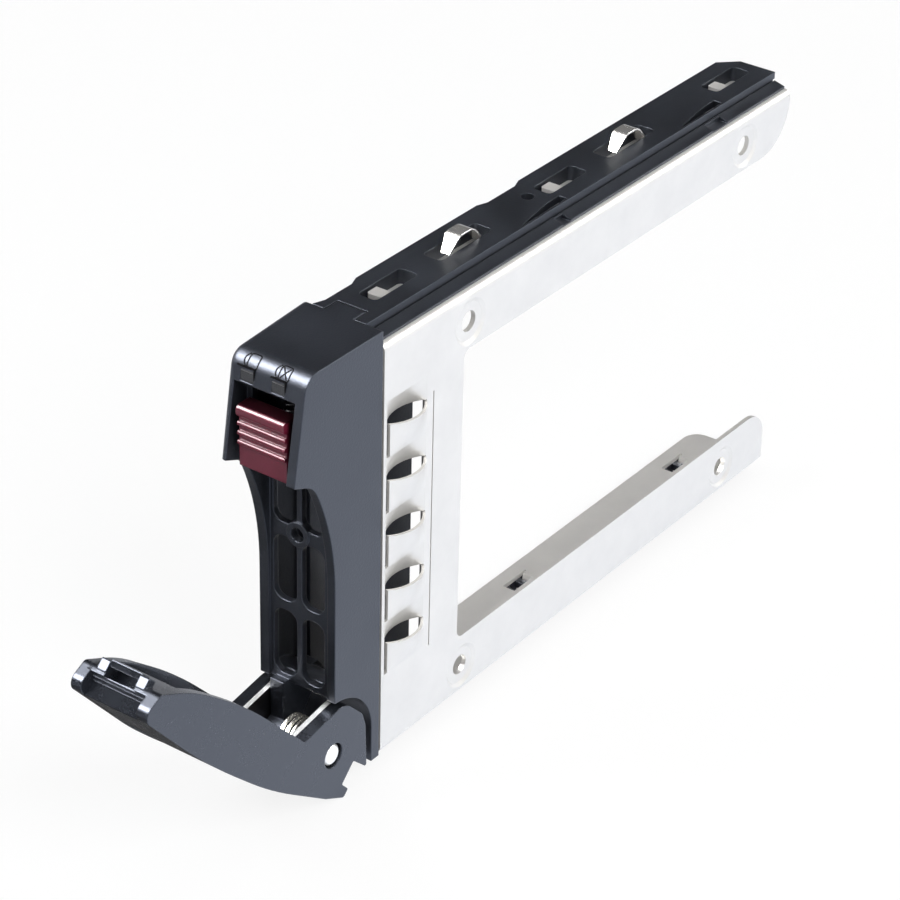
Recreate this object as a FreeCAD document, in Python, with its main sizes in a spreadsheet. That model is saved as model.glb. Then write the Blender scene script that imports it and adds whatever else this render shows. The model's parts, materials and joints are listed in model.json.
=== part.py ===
import FreeCAD, Part
import math
import os
import Sketcher

# Hot swap drive caddy: a steel channel that carries one drive by its side holes,
# a moulded bezel with an ejector lever and a release button, and two slide rails.
# Row frame: the origin is the centre of the four drive holes on the seat plane,
# +X leaves through the side of the channel, +Y runs to the rear, +Z is up.

os.makedirs("parts", exist_ok=True)
doc = FreeCAD.newDocument("caddy")
V = FreeCAD.Vector

SIZES = [
    ("hole_pitch_y", 76.6, "drive holes, along the tray"),
    ("hole_pitch_z", 61.72, "drive holes, across the tray"),
    ("hole_radius", 1.7, "clearance for the drive screws"),
    ("dimple_depth", 0.35, "the web is pressed in to the drive by this much"),
    ("dimple_foot_radius", 3.2, "flat seat of a dimple"),
    ("dimple_slope", 60.0, "taper of a dimple's side, degrees"),
    ("gauge", 0.8, "sheet of the channel"),
    ("flange_face", 35.2, "inner face of both flanges, from the middle"),
    ("flange_reach", 13.1, "free edge of the flanges, to the left"),
    ("bend_radius", 1.2, "outside radius of the bends"),
    ("bend_inner", 0.4, "inside radius of the bends"),
    ("channel_front", 59.2, "front edge of the channel"),
    ("channel_rear", 52.0, "rear ends of the channel"),
    ("window_front", 39.7, "front edge of the open window"),
    ("window_top", 26.5, "upper edge of the window"),
    ("window_bottom", 25.1, "lower edge of the window"),
    ("window_corner", 1.5, "corners of the window"),
    ("ear_inner", 8.0, "rounded lower corner of the upper ear"),
    ("ear_low", 5.5, "rounded corners of the lower ear"),
    ("flange_corner", 3.0, "rear corners of the flanges"),
    ("strip_rear", 58.5, "rear edge of the strip that holds the spring fingers"),
    ("finger_front", 57.7, "front edge of a bowed finger"),
    ("finger_rear", 48.8, "rear ends of the fingers"),
    ("slot_rear", 47.0, "rear edge of the slit behind the fingers"),
    ("slot_width", 0.25, "width of that slit"),
    ("slot_top", 23.1, "upper end of the slit"),
    ("slot_bottom", 22.2, "lower end of the slit"),
    ("finger_pitch", 9.6, "from one finger to the next"),
    ("finger_count", 5, "spring fingers in the column"),
    ("band_top", 26.4, "top of the first dished band"),
    ("band_height", 4.0, "height of a dished band"),
    ("lance_gap", 0.2, "cut between a band and the finger under it"),
    ("bow_height", 5.4, "height of a bowed finger"),
    ("bow", 1.9, "the finger's crest stands out by this much"),
    ("dish", 1.8, "the band's lower edge is pressed in by this much"),
    ("finger_gauge", 0.5, "thinned sheet of the fingers"),
    ("root_bow", 0.05, "camber where finger and band meet"),
    ("tab_x", 7.0, "middle of the hook tabs on the upper flange"),
    ("lower_tab_x", 8.9, "middle of the hook tabs on the lower flange"),
    ("tab_width", 2.6, "width of a hook tab"),
    ("tab_length", 2.5, "flat top of a hook tab"),
    ("tab_top", 38.06, "outer face of a hook tab"),
    ("tab_corner", 0.5, "rounded front corners of a hook tab"),
    ("tab_root", 1.1, "length of the jog at a hook tab's root"),
    ("tab_first", 51.3, "front end of the first hook tab"),
    ("tab_second", 7.3, "front end of the second hook tab"),
    ("tab_third", 40.7, "front end of the third hook tab"),
    ("lance_ahead", 3.1, "the lanced opening starts this far ahead of a tab"),
    ("lance_side", 0.35, "clearance beside a tab in its opening"),
    ("lance_behind", 0.8, "the opening runs this far past the front of the root"),
    ("fit", 0.05, "running and location clearance"),
    ("gap", 0.3, "free air between separate pieces"),
    ("web_out", 1.15, "outer face of the channel's web"),
    # bezel
    ("bezel_left", 13.8, "left side of the bezel at its rear"),
    ("bezel_nose_left", 12.5, "left side of the bezel at its front"),
    ("bezel_rear", 59.6, "rear face of the bezel"),
    ("bezel_bottom", 36.0, "foot of the bezel"),
    ("brow_front", 77.0, "where the sloped front would meet the top"),
    ("brow_radius", 2.8, "rounded top front edge"),
    ("chin_front", 79.87, "lower end of the sloped front"),
    ("chin_z", 21.9, "height of that end"),
    ("cheek_front", 75.44, "first corner under the chin"),
    ("cheek_z", 20.05, "height of that corner"),
    ("cheek_radius", 5.0, "its rounding"),
    ("hollow_front", 70.5, "upright front edge of the side walls"),
    ("hollow_z", 8.96, "where the hollow edge turns upright"),
    ("hollow_radius", 45.0, "its long rounding"),
    ("nose_corner", 1.2, "rounded left front corner"),
    ("wall", 1.5, "side walls of the bezel"),
    ("top_wall_under", 36.05, "underside of the bezel's top wall"),
    ("mouth_left", 11.4, "left side of the button opening"),
    ("mouth_right", 0.37, "right side of the button opening"),
    ("mouth_top", 34.26, "top of the button opening"),
    ("plate_front", 70.0, "front face of the grille plate"),
    ("plate_gauge", 1.1, "grille plate"),
    ("arch_radius", 9.35, "arch over the lever's hub"),
    ("arch_wall", 1.1, "wall over the arch"),
    ("cavity_round", 8.4, "rounded lower end of the cavity"),
    ("grille_left_a", 10.8, "left column of slots, left edge"),
    ("grille_left_b", 6.4, "left column of slots, right edge"),
    ("grille_right_a", 5.5, "right column of slots, left edge"),
    ("grille_right_b", 1.2, "right column of slots, right edge"),
    ("grille_1_top", 18.9, "first row of slots"),
    ("grille_1_foot", 7.7, ""),
    ("grille_2_top", 5.4, "second row of slots"),
    ("grille_2_foot", 5.9, ""),
    ("grille_3_top", 7.6, "third row of slots"),
    ("grille_3_foot", 19.2, ""),
    ("grille_corner", 1.8, "rounded slot ends"),
    ("boss_x", 6.1, "round boss in the grille"),
    ("boss_z", 6.66, "its height"),
    ("boss_radius", 2.1, ""),
    ("boss_hole", 1.2, ""),
    ("spigot_rear", 48.6, "rear end of the spigot inside the channel"),
    ("spigot_wall", 1.2, "upper and lower plates of the spigot"),
    ("tongue_right", 1.6, "right face of the tongue behind the fingers"),
    ("tongue_gauge", 1.0, "tongue behind the fingers"),
    ("spigot_left", 12.3, "left edge of the spigot plates"),
    ("catch_front", 66.3, "front end of the spigot's upper plate"),
    ("lug_left", 10.5, "hub of the lever pin, left end"),
    ("lug_right", 8.0, "end of the hub's web"),
    ("hub_right", 2.1, "right end of the hub"),
    ("hub_radius", 2.9, "hub of the lever pin"),
    ("bezel_tab_left", 9.45, "tab of the bezel's top wall over the rail"),
    ("bezel_tab_right", 4.35, ""),
    ("bezel_tab_rear", 56.6, ""),
    ("tongue_front", 66.0, "front end of the flange tongue under the top wall"),
    ("tongue_left", 11.0, "left edge of the flange tongue"),
    ("tongue_inner", 2.5, "right edge of the flange tongue"),
    ("window_low", 34.56, "light windows, lower edge"),
    ("light_height", 1.75, "light windows"),
    ("light_left_a", 10.4, "left light window, left edge"),
    ("light_left_b", 7.9, "left light window, right edge"),
    ("light_right_a", 4.8, "right light window, left edge"),
    ("light_right_b", 2.3, "right light window, right edge"),
    # button
    ("button_x", 5.9, "middle of the release button"),
    ("button_half", 4.3, "half its width"),
    ("button_top", 31.0, "top of the button"),
    ("button_foot", 20.96, "lower edge of the button"),
    ("button_face", 78.15, "smooth face of the button"),
    ("button_back", 75.7, "back of its head"),
    ("crown_out", 0.75, "the top ridge stands out by this much"),
    ("crown_height", 1.9, "height of the top ridge"),
    ("rib_out", 0.5, "ribs stand out by this much"),
    ("rib_height", 0.75, "height of a rib"),
    ("rib_pitch", 1.55, "from rib to rib"),
    ("rib_count", 3, "grip ribs under the top ridge"),
    ("rib_drop", 2.65, "top of the first rib, under the button's top"),
    ("stem_half", 2.6, "half width of the button's stem"),
    ("stem_low", 22.4, "stem, lower face"),
    ("stem_high", 28.4, "stem, upper face"),
    ("wing_front", 73.4, "guide wing, front face"),
    ("wing_back", 70.4, "guide wing, rear face"),
    ("wing_low", 22.4, "guide wing, lower face"),
    ("wing_high", 26.6, "guide wing, upper face"),
    ("guide_front", 74.9, "guide ribs on the side walls"),
    ("guide_back", 73.7, ""),
    ("guide_reach", 1.0, "the guide ribs stand in by this much"),
    ("guide_foot", 21.6, "ledge under the guide wings"),
    ("ledge_gauge", 1.0, ""),
    ("catch_y_front", 76.87, "catch of the button, front face"),
    ("catch_y_rear", 76.12, "catch of the button, rear face"),
    ("catch_foot", 19.95, "tip of the catch"),
    ("catch_half", 1.2, "half width of the catch"),
    ("coil_radius", 1.1, "button spring, mean radius"),
    ("coil_wire", 0.2, "button spring, wire radius"),
    ("coil_pitch", 1.1, "button spring, pitch"),
    ("coil_y", 71.5, "button spring, axis"),
    # lever
    ("pivot_y", 70.83, "lever pin"),
    ("pivot_z", 29.57, ""),
    ("open_angle", 45.0, "the lever is stored swung open by this angle"),
    ("lever_left", 13.7, "left face of the lever at the pin"),
    ("lever_nose_left", 11.6, "left face of the lever at its tip"),
    ("cheek_gauge", 2.0, "cheeks of the lever"),
    ("skin", 1.6, "front skin of the lever"),
    ("tip_z", 51.4, "front of the tip of the lever, from the pin"),
    ("tip_front", 8.25, "front of the tip"),
    ("heel_z", 50.0, "rear of the tip"),
    ("tip_land", 5.0, "rear edge of the tip's land"),
    ("tip_rear", 4.0, "rear corner of the cheeks at the tip"),
    ("bar_front", 3.4, "latch bar, front face"),
    ("bar_rear", 2.4, "latch bar, rear face"),
    ("bar_high", 50.0, "latch bar, top"),
    ("bar_low", 48.6, "latch bar, underside"),
    ("pocket_floor", 47.6, "floor of the catch pocket"),
    ("pocket_left", 8.6, "catch pocket, left side"),
    ("pocket_right", 3.2, "catch pocket, right side"),
    ("tip_core", 44.4, "underside of the solid tip"),
    ("stair", 0.55, "size of the small steps at the tip"),
    ("stair_rise", 0.35, "height of one of them"),
    ("block_front", 4.6, "blocks at the ends of the latch bar"),
    ("block_rear", 2.6, ""),
    ("block_width", 1.6, ""),
    ("block_out", 0.3, "they stand out over the tip by this much"),
    ("waist_z", 31.3, "the lever's widest point, from the pin"),
    ("waist_front", 9.7, ""),
    ("neck_z", 9.4, "neck over the disc"),
    ("inner_low", 0.3, "inner edge of the lever at the neck"),
    ("inner_mid", 0.2, "inner edge of the lever halfway up"),
    ("inner_mid_z", 28.8, ""),
    ("inner_high_z", 42.7, "the inner edge leans forward from here"),
    ("inner_high", 1.4, ""),
    ("neck_round", 2.0, ""),
    ("disc_rear", 7.7, "disc of the lever around the pin"),
    ("shoulder_z", 3.7, "the straight edge from the neck ends over the disc here"),
    ("shoulder_round", 3.5, ""),
    ("hook_z", 10.6, "tip of the ejector hook, under the pin"),
    ("hook_y", 1.0, ""),
    ("hook_back_y", 6.5, "back of the hook"),
    ("hook_back_z", 4.6, ""),
    ("throat_z", 6.2, "throat between the hook and the jaw"),
    ("throat_rear", 0.8, ""),
    ("throat_front", 3.2, ""),
    ("jaw_z", 8.4, "tip of the jaw, under the pin"),
    ("jaw_rear", 3.3, ""),
    ("jaw_front", 4.8, ""),
    ("chest_y", 6.3, "front edge near the pin"),
    ("chest_z", 3.6, ""),
    ("belly_y", 9.0, "front edge above the pin"),
    ("belly_z", 12.0, ""),
    ("front_round", 25.0, "rounding of the skin's inner face"),
    ("belly_round", 95.0, "long roundings of the front edge"),
    ("waist_round", 150.0, ""),
    ("inner_round", 85.0, "long roundings of the inner edge"),
    ("inner_tip_round", 38.0, ""),
    ("nose_round", 1.6, "rounded front corners of the tip"),
    ("heel_round", 1.0, "rounded rear corners of the tip"),
    ("cheek_hole", 2.1, "hole in the cheeks around the pin"),
    ("hub_free", 9.4, "space inside the lever around the hub"),
    # bracket and pin
    ("bracket_gauge", 0.8, "steel bracket in the lever"),
    ("bracket_top", 22.0, "upper end of the bracket"),
    ("bracket_front", 6.6, "front of the bracket arms at the top"),
    ("bracket_rear", 0.9, "rear edge of the bracket arms"),
    ("pin_radius", 1.75, "lever pin"),
    ("pin_left", 13.4, "left end of the pin"),
    ("pin_right", 0.95, "right end of the pin"),
    # lever spring
    ("torsion_radius", 3.5, "lever spring, mean radius"),
    ("torsion_wire", 0.35, "lever spring, wire radius"),
    ("torsion_pitch", 1.0, "lever spring, pitch"),
    ("torsion_turns", 3, "coils of the lever spring"),
    ("torsion_right", 4.3, "right end of the coils"),
    # rails
    ("rail_gauge", 2.5, "thickness of the rails"),
    ("rail_left", 11.8, "left edge of the rails"),
    ("rail_right", 2.0, "right edge of the rails' upper strip"),
    ("ledge_right", 0.0, "right edge of the low strip"),
    ("ledge_root", 1.0, "thickness of the low strip beside the upper strip"),
    ("ledge_edge", 0.45, "thickness of its free edge"),
    ("groove_width", 0.3, "groove between the two strips"),
    ("rail_front", 59.5, "front end of the rails"),
    ("rail_rear", 51.8, "rear end of the rails"),
    ("rail_chamfer", 3.0, "rear left corner of the rails"),
    ("notch_side", 0.25, "air around the bezel's tab"),
    ("slot_left", 8.65, "slots in the rails, left side"),
    ("slot_right", 5.2, "slots in the rails, right side"),
    ("tab_slot_front", 1.8, "a tab's slot starts this far ahead of the tab"),
    ("tab_slot_length", 10.3, "length of a tab's slot"),
    ("slot_round", 0.8, "rounded slot corners"),
    ("hold_gauge", 1.15, "thickness of the cross bar under a tab"),
    ("hold_ahead", 0.4, "the bar starts this far behind the tab's front end"),
    ("hold_length", 1.2, "cross bar, along the rail"),
    ("leaf_slot_front_a", 37.4, "front leaf spring's slot"),
    ("leaf_slot_rear_a", 24.2, ""),
    ("leaf_slot_front_b", 7.2, "rear leaf spring's slot"),
    ("leaf_slot_rear_b", 20.3, ""),
    ("lens_front_a", 20.9, "first lens-shaped recess"),
    ("lens_rear_a", 8.6, ""),
    ("lens_front_b", 23.2, "second lens-shaped recess"),
    ("lens_rear_b", 35.8, ""),
    ("lens_left", 3.9, "left side of a lens"),
    ("lens_right", 2.45, "right side of a lens"),
    ("lens_blunt", 3.4, "length of a lens's blunt end"),
    ("lens_floor", 0.9, "floor of a lens over the flange"),
    ("lens_eye", 3.2, "opening through a lens's blunt end"),
    ("scoop_front_a", 59.3, "scoops in the left edge of the rails"),
    ("scoop_rear_a", 49.3, ""),
    ("scoop_front_b", 19.3, ""),
    ("scoop_rear_b", 8.3, ""),
    ("scoop_slope", 2.5, "slanted ends of a scoop"),
    ("scoop_right", 10.9, "right side of a scoop"),
    ("scoop_depth", 0.6, ""),
    ("ledge_gap_front_a", 13.0, "gaps in the low strip"),
    ("ledge_gap_rear_a", 10.8, ""),
    ("ledge_gap_front_b", 29.7, ""),
    ("ledge_gap_rear_b", 34.1, ""),
    ("screw_y", 11.9, "rail screw"),
    ("screw_x", 7.5, ""),
    ("screw_well", 1.1, "well of the rail screw"),
    ("screw_head", 1.0, "head of the rail screw"),
    ("screw_shank", 0.6, "shank of the rail screw"),
    ("screw_head_gauge", 0.9, "height of the screw's head"),
    ("pipe_side", 1.1, "light pipes, width and height"),
    ("pipe_left_x", 9.9, "left light pipe, right face"),
    ("pipe_right_x", 3.9, "right light pipe, right face"),
    ("pipe_low", 36.05, "light pipes, underside"),
    ("pipe_turn", 72.6, "the pipes step down to the windows from here"),
    ("pipe_face", 77.55, "front ends of the light pipes"),
    ("pipe_room", 0.1, "air around the light pipes"),
    # leaf springs
    ("leaf_left", 8.3, "leaf springs, left edge"),
    ("leaf_width", 2.6, "leaf springs"),
    ("leaf_gauge", 0.25, ""),
    ("leaf_offset", 44.6, "from the front leaf spring to the rear one"),
    ("leaf_foot_rear", 26.0, "rear leaf spring, rear end of its foot"),
    ("leaf_foot_front", 19.8, "front end of its foot"),
    ("leaf_crest_rear", 16.2, "rear end of the crest"),
    ("leaf_crest_front", 12.6, "front end of the crest"),
    ("leaf_crest_z", 40.15, ""),
    ("leaf_tip_y", 10.9, "front tip"),
    ("leaf_tip_z", 37.7, ""),
    ("leaf_crest_round", 2.4, ""),
    ("leaf_foot_round", 1.5, ""),
    ("leaf_tip_narrow", 0.6, "the tip is narrower on each side by this much"),
    ("leaf_tip_length", 1.6, "length of the narrowed tip"),
    ("leaf_pocket", 0.35, "pocket over the leaf spring's foot"),
]

sheet = doc.addObject("Spreadsheet::Sheet", "Sizes")
for row, (alias, value, note) in enumerate(SIZES, start=1):
    sheet.set(f"A{row}", alias)
    sheet.set(f"B{row}", str(value))
    sheet.set(f"C{row}", note)
    sheet.setAlias(f"B{row}", alias)
doc.recompute()


class Length:
    """A size together with the formula that yields it from the sheet."""

    def __init__(self, value, text):
        self.value = float(value)
        self.text = text

    def _join(self, other, sign, result):
        text = other.text if isinstance(other, Length) else str(other)
        return Length(result, f"({self.text} {sign} {text})")

    def __add__(self, other):
        return self._join(other, "+", self.value + amount(other))

    def __sub__(self, other):
        return self._join(other, "-", self.value - amount(other))

    def __mul__(self, other):
        return self._join(other, "*", self.value * amount(other))

    def __truediv__(self, other):
        return self._join(other, "/", self.value / amount(other))

    def __neg__(self):
        return Length(-self.value, f"(0 - {self.text})")


def amount(size):
    return size.value if isinstance(size, Length) else float(size)


class Sizes:
    """The named sizes of the sheet."""

    def __getattr__(self, alias):
        return Length(getattr(sheet, alias), f"Sizes.{alias}")


S = Sizes()
ZERO = S.gap * 0
ONE = S.gap / S.gap
HALF_ROOT_THREE = Length(math.sqrt(3) / 2, "(sqrt(3) / 2)")


def new_body(name):
    body = doc.addObject("PartDesign::Body", name)
    body.Label = name
    return body


def add_sketch(body, name, plane, offset):
    """A sketch on XY, XZ or YZ; its height is counted along +Z, +Y or +X."""
    sketch = body.newObject("Sketcher::SketchObject", name)
    base = [f for f in body.Origin.OriginFeatures if f.Name.startswith(f"{plane}_Plane")]
    sketch.AttachmentSupport = [(base[0], "")]
    sketch.MapMode = "FlatFace"
    height = -offset if plane == "XZ" else offset
    sketch.AttachmentOffset = FreeCAD.Placement(V(0, 0, height.value), FreeCAD.Rotation())
    sketch.setExpression("AttachmentOffset.Base.z", height.text)
    return sketch


def pin_point(constraints, formulas, index, place, a, b):
    """Hold one point of a sketch at two sizes from its root."""
    for kind, size in (("DistanceX", a), ("DistanceY", b)):
        formulas.append((len(constraints), size.text))
        constraints.append(Sketcher.Constraint(kind, -1, 1, index, place, size.value))


def draw_outline(sketch, corners):
    """A closed outline; a corner given with a radius is rounded."""
    count = len(corners)
    points = [V(c[0].value, c[1].value, 0) for c in corners]
    lead_in = list(points)
    lead_out = list(points)
    rounds = {}
    for i, corner in enumerate(corners):
        if len(corner) == 2:
            continue
        radius = corner[2].value
        back = (points[i - 1] - points[i]).normalize()
        ahead = (points[(i + 1) % count] - points[i]).normalize()
        half = back.getAngle(ahead) / 2
        lead_in[i] = points[i] + back * (radius / math.tan(half))
        lead_out[i] = points[i] + ahead * (radius / math.tan(half))
        middle = points[i] + (back + ahead).normalize() * (radius / math.sin(half))
        left_turn = (-back).cross(ahead).z > 0
        rounds[i] = (middle, left_turn)
    first = sketch.GeometryCount
    constraints = []
    formulas = []
    shapes = [Part.LineSegment(lead_out[i], lead_in[(i + 1) % count]) for i in range(count)]
    arcs = {}
    for i, (middle, left_turn) in rounds.items():
        start, end = (lead_in[i], lead_out[i]) if left_turn else (lead_out[i], lead_in[i])
        circle = Part.Circle(middle, V(0, 0, 1), corners[i][2].value)
        from_angle = math.atan2(start.y - middle.y, start.x - middle.x)
        to_angle = math.atan2(end.y - middle.y, end.x - middle.x)
        if to_angle < from_angle:
            to_angle += 2 * math.pi
        arcs[i] = first + len(shapes)
        shapes.append(Part.ArcOfCircle(circle, from_angle, to_angle))
    sketch.addGeometry(shapes, False)
    marks = {}
    if rounds:
        marks_from = first + len(shapes)
        sketch.addGeometry([Part.Point(points[i]) for i in rounds], True)
        marks = {i: marks_from + n for n, i in enumerate(rounds)}
    for i, corner in enumerate(corners):
        before = first + (i - 1) % count
        after = first + i
        if i not in rounds:
            constraints.append(Sketcher.Constraint("Coincident", before, 2, after, 1))
            pin_point(constraints, formulas, after, 1, corner[0], corner[1])
            continue
        start, end = (1, 2) if rounds[i][1] else (2, 1)
        constraints.append(Sketcher.Constraint("Tangent", before, 2, arcs[i], start))
        constraints.append(Sketcher.Constraint("Tangent", arcs[i], end, after, 1))
        formulas.append((len(constraints), corner[2].text))
        constraints.append(Sketcher.Constraint("Radius", arcs[i], corner[2].value))
        constraints.append(Sketcher.Constraint("PointOnObject", marks[i], 1, before))
        constraints.append(Sketcher.Constraint("PointOnObject", marks[i], 1, after))
        pin_point(constraints, formulas, marks[i], 1, corner[0], corner[1])
    base = sketch.ConstraintCount
    sketch.addConstraint(constraints)
    for index, text in formulas:
        sketch.setExpression(f"Constraints[{base + index}]", text)


def draw_circle(sketch, a, b, radius):
    """A round outline."""
    index = sketch.GeometryCount
    circle = Part.Circle(V(a.value, b.value, 0), V(0, 0, 1), radius.value)
    sketch.addGeometry(circle, False)
    constraints = []
    formulas = []
    pin_point(constraints, formulas, index, 3, a, b)
    formulas.append((len(constraints), radius.text))
    constraints.append(Sketcher.Constraint("Radius", index, radius.value))
    base = sketch.ConstraintCount
    sketch.addConstraint(constraints)
    for number, text in formulas:
        sketch.setExpression(f"Constraints[{base + number}]", text)


def box(a, b, c, d, radius=None):
    """Corners of a rectangle from (a, c) to (b, d)."""
    corners = [(a, c), (b, c), (b, d), (a, d)]
    return [corner + (radius,) for corner in corners] if radius else corners


def disc(a, b, radius):
    return ("circle", a, b, radius)


def extrude(body, name, plane, low, high, loops, kind="Pad", taper=None):
    """Add or cut the outlines from low to high along the plane's axis."""
    start = high if plane == "XZ" else low
    sketch = add_sketch(body, name + "_outline", plane, start)
    for loop in loops:
        if loop[0] == "circle":
            draw_circle(sketch, *loop[1:])
        else:
            draw_outline(sketch, loop)
    feature = body.newObject(f"PartDesign::{kind}", name)
    feature.Profile = sketch
    feature.setExpression("Length", (high - low).text)
    feature.Length = (high - low).value
    feature.Reversed = kind == "Pocket"
    if taper is not None:
        feature.TaperAngle = taper.value
        feature.setExpression("TaperAngle", taper.text)
    body.Tip = feature
    return feature


def cut(body, name, plane, low, high, loops, taper=None):
    return extrude(body, name, plane, low, high, loops, "Pocket", taper)


def edges_near(shape, places):
    """Names of the edges that pass through the given places."""
    names = []
    for place in places:
        spot = Part.Vertex(*[size.value for size in place])
        reach = [edge.distToShape(spot)[0] for edge in shape.Edges]
        names.append(f"Edge{reach.index(min(reach)) + 1}")
    return names


def round_edges(body, name, radius, places, kind="Fillet"):
    doc.recompute()
    base = body.Tip
    feature = body.newObject(f"PartDesign::{kind}", name)
    feature.Base = (base, edges_near(base.Shape, places))
    prop = "Radius" if kind == "Fillet" else "Size"
    setattr(feature, prop, radius.value)
    feature.setExpression(prop, radius.text)
    body.Tip = feature
    return feature


def draw_bow(sketch, front, rear, sag, gauge):
    """A thin strip from front to rear whose outer face leans out by sag."""
    outer = S.web_out
    inner = outer - gauge
    corners = [(outer, front), (outer, rear), (inner, rear), (inner, front)]
    points = [V(x.value, y.value, 0) for x, y in corners]
    middle = (front.value + rear.value) / 2
    chord = rear - front
    bend = sag if sag.value > 0 else -sag
    radius = chord * chord / (bend * 8) + bend / 2
    outer_arc = Part.Arc(points[0], V(outer.value + sag.value, middle, 0), points[1])
    inner_arc = Part.Arc(points[3], V(inner.value + sag.value, middle, 0), points[2])
    sketch.addGeometry([outer_arc, Part.LineSegment(points[1], points[2]), inner_arc,
                        Part.LineSegment(points[3], points[0])], False)
    outward = sag.value > 0
    ends = (1, 2) if outward else (2, 1)
    constraints = [
        Sketcher.Constraint("Coincident", 0, ends[0], 3, 2),
        Sketcher.Constraint("Coincident", 0, ends[1], 1, 1),
        Sketcher.Constraint("Coincident", 2, ends[0], 3, 1),
        Sketcher.Constraint("Coincident", 2, ends[1], 1, 2),
    ]
    formulas = []
    for line, place, corner in ((1, 1, 1), (1, 2, 2), (3, 1, 3), (3, 2, 0)):
        pin_point(constraints, formulas, line, place, *corners[corner])
    for arc in (0, 2):
        formulas.append((len(constraints), radius.text))
        constraints.append(Sketcher.Constraint("Radius", arc, radius.value))
    sketch.addConstraint(constraints)
    for index, text in formulas:
        sketch.setExpression(f"Constraints[{index}]", text)


def loft_bow(body, name, levels, front, rear):
    """A finger between strips drawn at several heights."""
    sketches = []
    for n, (height, sag) in enumerate(levels):
        sketch = add_sketch(body, f"{name}_{n}", "XY", height)
        draw_bow(sketch, front, rear, sag, S.finger_gauge)
        sketches.append(sketch)
    loft = body.newObject("PartDesign::AdditiveLoft", name)
    loft.Profile = sketches[0]
    loft.Sections = sketches[1:]
    loft.Ruled = False
    body.Tip = loft
    return loft


# ---------------------------------------------------------------- drive frame
frame = new_body("drive_frame")
web_in = S.web_out - S.gauge
flange_out = S.flange_face + S.gauge
rail_out = flange_out + S.rail_gauge
section = [
    (S.web_out, -flange_out), (S.web_out, flange_out), (-S.flange_reach, flange_out),
    (-S.flange_reach, S.flange_face), (web_in, S.flange_face), (web_in, -S.flange_face),
    (-S.flange_reach, -S.flange_face), (-S.flange_reach, -flange_out),
]
bends = {0: S.bend_radius, 1: S.bend_radius, 4: S.bend_inner, 5: S.bend_inner}
section = [c + (bends[i],) if i in bends else c for i, c in enumerate(section)]
extrude(frame, "channel", "XZ", -S.channel_front, S.channel_rear, [section])
window = [
    (-S.window_front, -S.window_bottom, S.window_corner), (S.channel_rear + S.gauge, -S.window_bottom),
    (S.channel_rear + S.gauge, S.window_top), (-S.window_front, S.window_top, S.window_corner),
]
cut(frame, "window", "YZ", web_in - S.gauge, S.web_out + S.gauge, [window])
fingers_foot = S.band_top - S.finger_pitch * S.finger_count
opening = [
    (-S.strip_rear, fingers_foot), (-S.finger_rear, fingers_foot), (-S.finger_rear, S.band_top),
    (-S.strip_rear, S.band_top),
]
slit = box(-S.slot_rear - S.slot_width, -S.slot_rear, -S.slot_bottom, S.slot_top)
cut(frame, "finger_opening", "YZ", web_in - S.gauge, S.web_out + S.gauge, [opening, slit])
tongue = box(-S.tongue_left, -S.tongue_inner, -S.tongue_front, -S.channel_front + S.gauge)
extrude(frame, "front_tongue", "XY", S.flange_face, flange_out, [tongue])

hole_places = [(y, z) for y in (-S.hole_pitch_y / 2, S.hole_pitch_y / 2)
               for z in (-S.hole_pitch_z / 2, S.hole_pitch_z / 2)]
for n, (y, z) in enumerate(hole_places):
    extrude(frame, f"dimple_seat_{n}", "YZ", ZERO, web_in + S.dimple_depth,
            [disc(y, z, S.dimple_foot_radius)], taper=S.dimple_slope)
    cut(frame, f"dimple_{n}", "YZ", S.gauge, S.web_out + S.dimple_depth,
        [disc(y, z, S.dimple_foot_radius)], taper=S.dimple_slope)
    cut(frame, f"drive_hole_{n}", "YZ", -S.gauge, S.web_out + S.gauge,
        [disc(y, z, S.hole_radius)])

lance_rear = S.tab_root - S.lance_behind
tab_jog = S.tab_top - S.gauge
tab_fronts = {"first": -S.tab_first, "second": -S.tab_second, "third": S.tab_third}
for side, middle in (("upper", -S.tab_x), ("lower", -S.lower_tab_x)):
    half = S.tab_width / 2
    for label, front in tab_fronts.items():
        root = front + S.tab_length
        mouth = box(middle - half - S.lance_side, middle + half + S.lance_side,
                    front - S.lance_ahead, root + S.lance_behind)
        jog = [
            (front, S.tab_top), (front, tab_jog), (root - S.gauge, tab_jog),
            (root - S.gap, S.flange_face), (root + S.tab_root + S.gap, S.flange_face),
            (root + S.tab_root, flange_out), (root, S.tab_top, S.bend_inner),
        ]
        if side == "lower":
            low, high = -flange_out - S.gauge, -S.flange_face + S.gauge
            jog = [(c[0], -c[1]) + c[2:] for c in jog]
        else:
            low, high = S.flange_face - S.gauge, flange_out + S.gauge
        cut(frame, f"{side}_lance_{label}", "XY", low, high, [mouth])
        extrude(frame, f"{side}_tab_{label}", "YZ", middle - half, middle + half, [jog])

screw_spot = disc(-S.screw_x, -S.screw_y, S.screw_shank)
cut(frame, "upper_screw_hole", "XY", S.flange_face - S.gauge, flange_out + S.gauge, [screw_spot])
cut(frame, "lower_screw_hole", "XY", -flange_out - S.gauge, -S.flange_face + S.gauge, [screw_spot])
mid_web = S.web_out - S.gauge / 2
mid_flange = S.flange_face + S.gauge / 2
round_edges(frame, "upper_ear", S.ear_inner, [(mid_web, S.channel_rear, S.window_top)])
round_edges(frame, "lower_ear", S.ear_low, [(mid_web, S.channel_rear, -S.window_bottom)])
round_edges(frame, "flange_corners", S.flange_corner,
            [(-S.flange_reach, S.channel_rear, mid_flange), (-S.flange_reach, S.channel_rear, -mid_flange)])

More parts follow.
